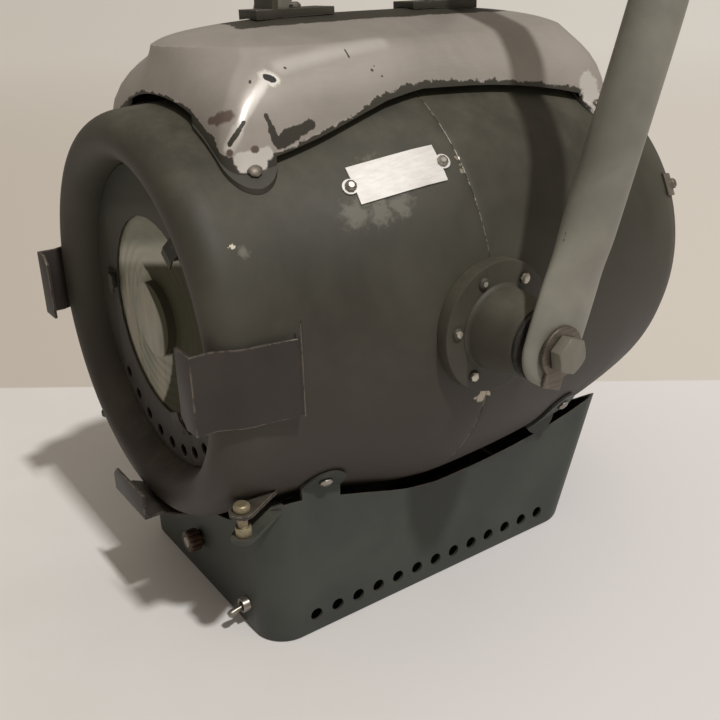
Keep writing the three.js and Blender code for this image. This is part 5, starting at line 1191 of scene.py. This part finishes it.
def draw_in_ridge(hood, top):
    """Draws the top in to the ridge and rounds it, and draws its front hips back."""
    centre = (0, CAP_CENTRE, top)
    pick(hood, "FACE", lambda f: f.normal.z > 0.9)
    wide = CAP_RIDGE_HALF_WIDTH / CAP_HALF_WIDTH
    long = CAP_RIDGE_HALF_LENGTH / CAP_HALF_LENGTH
    square = CAP_RIDGE_HALF_WIDTH / CAP_RIDGE_HALF_LENGTH
    resize((wide, long * square, 1), centre)
    bpy.ops.transform.tosphere(value=CAP_RIDGE_ROUNDNESS)
    mesh = bmesh.from_edit_mesh(hood.data)
    share = CAP_RIDGE_HALF_WIDTH / max(v.co.x for v in mesh.verts if v.select)
    resize((share, share / square, 1), centre)
    for reach in CAP_HIP_STEPS:
        pick(hood, "VERT", lambda v: v.co.z > top - NEAR and v.co.y < 0 and abs(v.co.x) > reach)
        shift(0, CAP_HIP_STEP, 0)


def raise_crown(hood, top):
    """Draws the crown out of the ridge in steps and eases the fold between them."""
    pick(hood, "FACE", lambda f: f.normal.z > 0.9)
    height, inner = top, 0.0
    for inwards, up in CAP_TOP_SHARES:
        rise = CAP_RIDGE + (CAP_CROWN - CAP_RIDGE) * up + AXIS - height
        draw_out(0, 0, rise)
        height += rise
        wide = (1 - inwards) / (1 - inner)
        long = (1 - CAP_END_DRAW * inwards ** 3) / (1 - CAP_END_DRAW * inner ** 3)
        resize((wide, long, 1), (0, CAP_CENTRE, height))
        inner = inwards
    pick(hood, "EDGE", lambda e: all(abs(v.co.z - top) < NEAR for v in e.verts))
    bpy.ops.mesh.bevel(offset=CAP_RIDGE_FOLD, segments=2)


def build_cap_hood():
    """The hood is drawn from a block, opened below and given its wall."""
    top = AXIS + CAP_RIDGE
    hood = cap_block(AXIS + CAP_EDGE, top)
    draw_in_ridge(hood, top)
    raise_crown(hood, top)
    pick(hood, "FACE", lambda f: f.normal.z < -0.9)
    draw_out(0, 0, -CAP_SKIRT)
    bpy.ops.mesh.delete(type="FACE")
    outwards(hood)
    smooth(hood, 2)
    thicken(hood, CAP_WALL, -1)
    return hood


def build_vent_cap():
    """The hood cut clear of the barrel, with four tongues that lie on it."""
    hood = build_cap_hood()
    tongues = cap_tongues()
    near = barrel_solid("near_form", FIT)
    combine(hood, near, "DIFFERENCE", keep=True)
    layer = barrel_solid("layer_form", FIT + TAB_WALL)
    combine(layer, near, "DIFFERENCE")
    combine(layer, tongues, "INTERSECT", keep=True)
    gap = barrel_solid("gap_form", CAP_GAP)
    combine(gap, tongues, "DIFFERENCE")
    combine(hood, gap, "DIFFERENCE")
    combine(hood, layer, "UNION")
    return dress(hood, "housing", "cap_paint", cap_finish, "vent_cap", angle=40)


# Accessory brackets
def build_bracket(name, width, node, turn):
    """A strip bent over the rim: lip, slot, roll, tail and flared end; drawn at the right, then turned."""
    face = -FRONT_LENGTH - ROLL_DEPTH
    lip = face - BRACKET_SLOT - BRACKET_WALL / 2
    inner = BRACKET_RADIUS - BRACKET_LIP
    mid = BRACKET_WALL / 2
    strip = begin(name, bpy.ops.mesh.primitive_plane_add, size=width,
                  location=(inner + BRACKET_LIP / 2, lip, AXIS), rotation=(math.pi / 2, 0, 0))
    resize(((BRACKET_LIP + BRACKET_WALL) / width, 1, 1), (inner + BRACKET_LIP / 2, lip, AXIS))
    pick(strip, "EDGE", lambda e: middle(e).x > BRACKET_RADIUS)
    x, y = BRACKET_RADIUS + mid, lip
    path = [(x, face - BRACKET_LEAD)]
    path += [point for point in reversed(roll_line(FIT + mid)) if point[0] > x + BRACKET_EASE]
    end = -FRONT_LENGTH + BRACKET_TAIL
    tail = barrel_radius(end) + FIT + BRACKET_TAIL_RISE + mid
    path += [(tail, end), (tail + BRACKET_FLARE, end + BRACKET_FLARE_REACH)]
    for next_x, next_y in path:
        draw_out(next_x - x, next_y - y, 0)
        x, y = next_x, next_y
    pick(strip, "VERT", lambda v: abs(v.co.x - x) < NEAR and abs(v.co.y - y) < NEAR and v.co.z > AXIS)
    shift(0, 0, BRACKET_EAR)
    pick(strip, "VERT", lambda v: v.co.x < inner + BRACKET_WALL and v.co.z < AXIS)
    bpy.ops.mesh.bevel(offset=BRACKET_CORNER, affect="VERTICES")
    bpy.ops.mesh.select_all(action="SELECT")
    bpy.ops.transform.rotate(value=-turn, orient_axis="Y", center_override=(0, 0, AXIS))
    close()
    outwards(strip)
    thicken(strip, BRACKET_WALL, 0)
    modify(strip, "BEVEL", width=BRACKET_EASE, segments=2, limit_method="ANGLE", angle_limit=math.radians(30))
    return dress(strip, "housing", "olive_paint", bracket_olive, node, angle=40)


# Yoke
def flattened_end(ring_z):
    """Half thickness, half width and height of the rings from the tube down round the flat end."""
    stations = []
    for i in range(1, YOKE_END_STEPS + 1):
        ease = (1 - math.cos(math.pi * i / YOKE_END_STEPS)) / 2
        stations.append((YOKE_TUBE + (YOKE_THICKNESS / 2 - YOKE_TUBE) * ease,
                         YOKE_TUBE + (YOKE_WIDTH / 2 - YOKE_TUBE) * ease,
                         ring_z - YOKE_BLEND * i / YOKE_END_STEPS))
    for i in range(YOKE_END_STEPS + 1):
        angle = math.pi / 2 * i / YOKE_END_TURNS
        stations.append((YOKE_THICKNESS / 2, YOKE_WIDTH / 2 * math.cos(angle),
                         PIVOT - YOKE_WIDTH / 2 * math.sin(angle)))
    return stations


def draw_saddle(level):
    """Draws the tube on from its bend to the middle, flattened there."""
    flat = YOKE_THICKNESS / 2 / YOKE_TUBE / SADDLE_THIN
    wide = YOKE_WIDTH / 2 / YOKE_TUBE / SADDLE_WIDE
    x = YOKE_ARM_X - YOKE_BEND
    for next_x, thin, broad in ((YOKE_SADDLE + YOKE_BLEND, 1, 1),
                                (YOKE_SADDLE + YOKE_BLEND / 2, SADDLE_THIN, SADDLE_WIDE),
                                (YOKE_SADDLE, flat, wide), (0, 1, 1)):
        draw_out(next_x - x, 0, 0)
        resize((1, broad, thin), (next_x, 0, level))
        x = next_x


def build_yoke():
    """Half a yoke from a ring: flattened down to the pivot, bent over to the saddle, then mirrored."""
    ring_z = PIVOT + YOKE_FLAT_REACH + YOKE_BLEND
    top = PIVOT + YOKE_HEIGHT - YOKE_BEND
    level = PIVOT + YOKE_HEIGHT
    piece = begin("yoke_tube", bpy.ops.mesh.primitive_circle_add, vertices=YOKE_RING, radius=YOKE_TUBE,
                  location=(YOKE_ARM_X, 0, ring_z))
    thin, broad, z = YOKE_TUBE, YOKE_TUBE, ring_z
    for next_thin, next_broad, next_z in flattened_end(ring_z):
        draw_out(0, 0, next_z - z)
        resize((next_thin / thin, next_broad / broad, 1), (YOKE_ARM_X, 0, next_z))
        thin, broad, z = next_thin, next_broad, next_z
    bpy.ops.mesh.edge_face_add()
    pick(piece, "EDGE", lambda e: all(abs(v.co.z - ring_z) < DOUBLE_POINT for v in e.verts))
    draw_out(0, 0, (top - ring_z) / 2)
    draw_out(0, 0, (top - ring_z) / 2)
    hinge = (YOKE_ARM_X - YOKE_BEND, 0, top)
    bpy.ops.mesh.spin(steps=YOKE_BEND_STEPS, angle=math.pi / 2, center=hinge, axis=(0, 1, 0))
    draw_saddle(level)
    close()
    modify(piece, "MIRROR", use_clip=True, merge_threshold=0.0002)
    outwards(piece)
    smooth(piece, 2)
    for side in (-1, 1):
        arm = side * YOKE_ARM_X
        hole = rod("hole", BOLT_RADIUS, arm - DRILL, arm + DRILL, 0, (0, 0, PIVOT))
        combine(piece, hole, "DIFFERENCE")
    hole = rod("hole", SADDLE_HOLE, level - DRILL, level + DRILL, 2, (0, 0, 0))
    combine(piece, hole, "DIFFERENCE")
    turn(piece, -YOKE_LEAN, "X", (0, 0, PIVOT))
    return dress(piece, "yoke", "yoke_paint", grey_green, "yoke", angle=50)


# Lens
def build_lens():
    """A crown in the middle, shallow steps round it and a flat edge in the ring's seat."""
    front = LENS_FRONT
    stations = [(LENS_POINT, front - LENS_CROWN)]
    for i in range(1, LENS_CROWN_STEPS + 1):
        share = i / LENS_CROWN_STEPS
        stations.append((LENS_CROWN_RADIUS * share, front - LENS_CROWN + LENS_STEP * share ** 2))
    width = (LENS_WINDOW - FIT - LENS_CROWN_RADIUS) / LENS_STEPS
    for i in range(LENS_STEPS):
        start = LENS_CROWN_RADIUS + i * width
        stations.append((start + width * LENS_RISER, front - LENS_STEP))
        stations.append((start + width / 2, front - LENS_STEP * LENS_BULGE))
        stations.append((start + width, front))
    stations += [(LENS_RADIUS, front), (LENS_RADIUS, front + LENS_EDGE), (LENS_POINT, front + LENS_EDGE)]
    piece = ring_sheet("lens_disc", stations, segments=LENS_SEGMENTS, fill="NGON")
    outwards(piece)
    return dress(piece, "housing", "lens_glass", lens_glass, "lens", angle=60)


# Base box
def lug_form(place):
    """The side outline of a lug, round at its top, run right across the box."""
    centre = LUG_TOP - LUG_HALF_WIDTH
    form = rod("lug", LUG_HALF_WIDTH, -FAR, FAR, 0, (0, place, centre))
    edit(form)
    pick(form, "VERT", lambda v: v.co.z < centre - NEAR)
    shift(0, 0, LUG_HALF_WIDTH + LUG_TOP - LUG_LENGTH - centre)
    close()
    return form


def latch_ear(name, top, reach, side):
    """A round-ended ear about the latch bolt, reaching in to its sheet."""
    x, y = LATCH
    ear = rod(name, LATCH_EAR_HALF, top - LATCH_EAR_WALL, top, 2, (x, y, 0))
    edit(ear)
    pick(ear, "VERT", lambda v: v.co.x < x - NEAR)
    shift(-reach, 0, 0)
    close()
    turn(ear, -LATCH_TURN, "Z", (x, y, 0))
    combine(ear, rod("hole", LATCH_HOLE, top - DRILL, top + DRILL, 2, (x, y, 0), 24), "DIFFERENCE")
    return ear if side > 0 else flipped(ear)


def base_walls():
    """A block with rounded corners and a leaning rear, opened above and given its wall."""
    centre = (BASE_REAR + BASE_FRONT) / 2
    box = begin("base_sheet", bpy.ops.mesh.primitive_cube_add, size=1, location=(0, centre, BASE_TOP / 2),
                scale=(2 * BASE_HALF_WIDTH, BASE_REAR - BASE_FRONT, BASE_TOP))
    for end, corner in ((-1, BASE_FRONT_CORNER), (1, BASE_REAR_CORNER)):
        pick(box, "EDGE", lambda e: height_span(e) > 0.1 and (middle(e).y - centre) * end > 0.05)
        bpy.ops.mesh.bevel(offset=corner, segments=10)
    pick(box, "VERT", lambda v: v.co.z > BASE_TOP - NEAR and v.co.y > BASE_REAR - BASE_REAR_CORNER - NEAR)
    shift(0, BASE_REAR_FLARE * BASE_TOP / BASE_FLARE_HEIGHT, 0)
    pick(box, "EDGE", lambda e: all(v.co.z < NEAR for v in e.verts))
    bpy.ops.mesh.bevel(offset=BASE_FOOT_ROUND, segments=2)
    pick(box, "FACE", lambda f: f.normal.z > 0.9 and f.calc_center_median().z > 0.1)
    bpy.ops.mesh.delete(type="FACE")
    outwards(box)
    thicken(box, SHEET, -1)
    return box


def cut_to_barrel(box):
    """Cuts the box clear of the barrel and gives it lugs that lie on the shell."""
    lugs = join([lug_form(LUG_FRONT), lug_form(LUG_REAR)], "lugs")
    near = barrel_solid("near_form", FIT)
    layer = barrel_solid("layer_form", FIT + SHEET)
    combine(layer, near, "DIFFERENCE", keep=True)
    combine(box, near, "DIFFERENCE")
    combine(layer, lugs, "INTERSECT", keep=True)
    inner = BASE_HALF_WIDTH - SHEET
    combine(layer, block("inner_form", (-inner, -FAR, -FAR), (inner, FAR, FAR)), "DIFFERENCE")
    gap = barrel_solid("gap_form", BASE_GAP)
    combine(gap, lugs, "DIFFERENCE")
    combine(box, gap, "DIFFERENCE")
    combine(box, layer, "UNION")


def base_holes():
    """The row of air holes through both sides, and the holes for the knob, the switch and the gland."""
    holes = []
    for i in range(BASE_HOLE_COUNT):
        y = (i - (BASE_HOLE_COUNT - 1) / 2) * BASE_HOLE_PITCH
        holes.append(rod("hole", BASE_HOLE_RADIUS, -FAR, FAR, 0, (0, y, BASE_HOLE_HEIGHT), 24))
    for (x, z, radius), (start, end) in ((KNOB_HOLE, FRONT_REACH), (SWITCH_HOLE, FRONT_REACH),
                                         (GLAND_HOLE, REAR_REACH)):
        holes.append(rod("hole", radius, start, end, 1, (x, 0, z)))
    return join(holes, "holes")


def build_base():
    """The open box with its lugs, its holes and the two lower latch ears."""
    box = base_walls()
    cut_to_barrel(box)
    combine(box, base_holes(), "DIFFERENCE")
    for side in (1, -1):
        combine(box, latch_ear("base_ear", *BASE_EAR, side), "UNION")
    return dress(box, "housing", "green_paint", green, "base_box", angle=35)


# Hubs
def eased_corner(radius, face, size):
    """Three stations round an outer corner."""
    return [(radius, face - size), (radius - size * 0.3, face - size * 0.3), (radius - size, face)]


def add_screw_heads(flange):
    """Low round heads on the circle of the hub's screws."""
    profile = [(HUB_SCREW_RADIUS, HUB_FACE - HUB_SCREW_SINK)]
    profile += [(HUB_SCREW_RADIUS * wide, HUB_FACE + HUB_SCREW_RISE * up) for wide, up in HUB_SCREW_HEAD]
    for i in range(HUB_SCREW_COUNT):
        centre = hub_circle(0, HUB_SCREW_TURN + math.tau * i / HUB_SCREW_COUNT)
        head = ring_sheet("head", profile, 20, "NGON", 0, centre)
        outwards(head)
        combine(flange, head, "UNION")


def build_hub(side, suffix):
    """A flange cut to the barrel with its six screws, and the boss that carries the pivot bolt."""
    flange = ring_solid("hub_flange_disc_" + suffix, [
        (HUB_RADIUS, HUB_ROOT), *eased_corner(HUB_RADIUS, HUB_FACE, HUB_ROUND),
        (BOLT_PASSAGE, HUB_FACE), (BOLT_PASSAGE, HUB_ROOT)], 96)
    combine(flange, barrel_solid("near_form", FIT), "DIFFERENCE")
    add_screw_heads(flange)
    boss = ring_solid("hub_boss_cone_" + suffix, [
        *((BOSS_ROOT + out, HUB_FACE + up) for out, up in BOSS_FILLET),
        *eased_corner(BOSS_TIP, BOSS_FACE, BOSS_ROUND), (BOLT_PASSAGE, BOSS_FACE),
        (BOLT_PASSAGE, HUB_FACE + FIT)], 64)
    for piece, node in ((flange, "hub_flange_"), (boss, "hub_boss_")):
        if side < 0:
            flipped(piece)
        dress(piece, "housing", "olive_paint", hub_olive, node + suffix, angle=40)


# Nameplate
def build_nameplate():
    """A bare plate with round ears at its screws, laid on the barrel."""
    half_length, half_height = NAMEPLATE_LENGTH / 2, NAMEPLATE_HEIGHT / 2
    start, end = NAMEPLATE_REACH
    outline = block("nameplate_form", (start, NAMEPLATE_Y - half_length, AXIS - half_height),
                    (end, NAMEPLATE_Y + half_length, AXIS + half_height))
    for side in (-1, 1):
        y = NAMEPLATE_Y + side * NAMEPLATE_SCREW_PLACE
        combine(outline, rod("ear", NAMEPLATE_EAR, start, end, 0, (0, y, AXIS)), "UNION")
    turn(outline, -NAMEPLATE_TURN, "Y", (0, 0, AXIS))
    plate = barrel_solid("nameplate_bare", FIT + NAMEPLATE_WALL)
    combine(plate, barrel_solid("near_form", FIT), "DIFFERENCE")
    combine(plate, outline, "INTERSECT")
    return dress(plate, "housing", "aluminium", plate_metal, "nameplate", angle=40)


build_front_shell()
build_rear_shell()
build_base()
build_hub(1, "right")
build_hub(-1, "left")
build_nameplate()
build_vent_cap()
build_bracket("right_bracket_strip", BRACKET_WIDTH, "right_bracket", 0)
build_bracket("left_bracket_strip", BRACKET_WIDTH, "left_bracket", math.pi)
build_bracket("bottom_bracket_strip", BOTTOM_BRACKET_WIDTH, "bottom_bracket", math.pi / 2)
build_yoke()
build_lens()

# Node, body, slot, finish and, where it isn't 0.4 mm, the bevel
FINISHED = [
    ("lens_plate", "housing", "olive_paint", shaded_rim_olive),
    ("handle", "housing", "olive_paint", handle_paint, 0.0008),
    ("focus_knob", "focus_drive", "bakelite", bakelite),
    ("cable_gland", "housing", "fibre", fibre),
    ("rear_clip", "housing", "bare_steel", dull_steel),
    ("switch_body", "housing", "bare_steel", steel),
    ("switch_lever", "switch_lever", "bare_steel", steel, 0.0002),
]
for side in ("right", "left"):
    FINISHED += [
        ("friction_washer_" + side, "housing", "fibre", fibre),
        ("tab_washer_" + side, "yoke", "bare_steel", dull_steel),
        ("pivot_bolt_" + side, "yoke", "bare_steel", bolt_paint, 0.0005),
        ("latch_bolt_" + side, "housing", "brass", brass),
    ]
    for end in ("front", "rear"):
        FINISHED.append((f"cap_screw_{end}_{side}", "housing", "bare_steel", dull_steel, 0.0003))
        FINISHED.append((f"lug_screw_{end}_{side}", "housing", "bare_steel", steel, 0.0003))
for row in FINISHED:
    refined(*row)

# Nodes that keep their CAD mesh and get a better finish
KEPT = {
    "seam_band": dull_steel, "lens_ring": dull_steel, "lens_clip_1": shaded_rim_olive, "lens_clip_2": shaded_rim_olive,
    "lens_clip_3": shaded_rim_olive, "handle_screw_front": steel, "handle_screw_rear": steel,
    "focus_screw": steel, "rail_end_front": dull_steel, "rail_end_rear": dull_steel,
    "guide_rod_right": steel, "guide_rod_left": steel, "pivot_nut_right": dull_steel,
    "pivot_nut_left": dull_steel, "lamp_carriage": bright_aluminium, "lamp_socket": ceramic,
    "lamp_cap": brass, "lamp_bulb": bulb_glass, "reflector": mirror, "terminal_block": bakelite,
    "nameplate_screw_front": steel, "nameplate_screw_rear": steel,
}
for node, finish in KEPT.items():
    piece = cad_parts[node]
    piece.data.materials.clear()
    piece.data.materials.append(finish)

bpy.context.scene.view_settings.view_transform = "Standard"
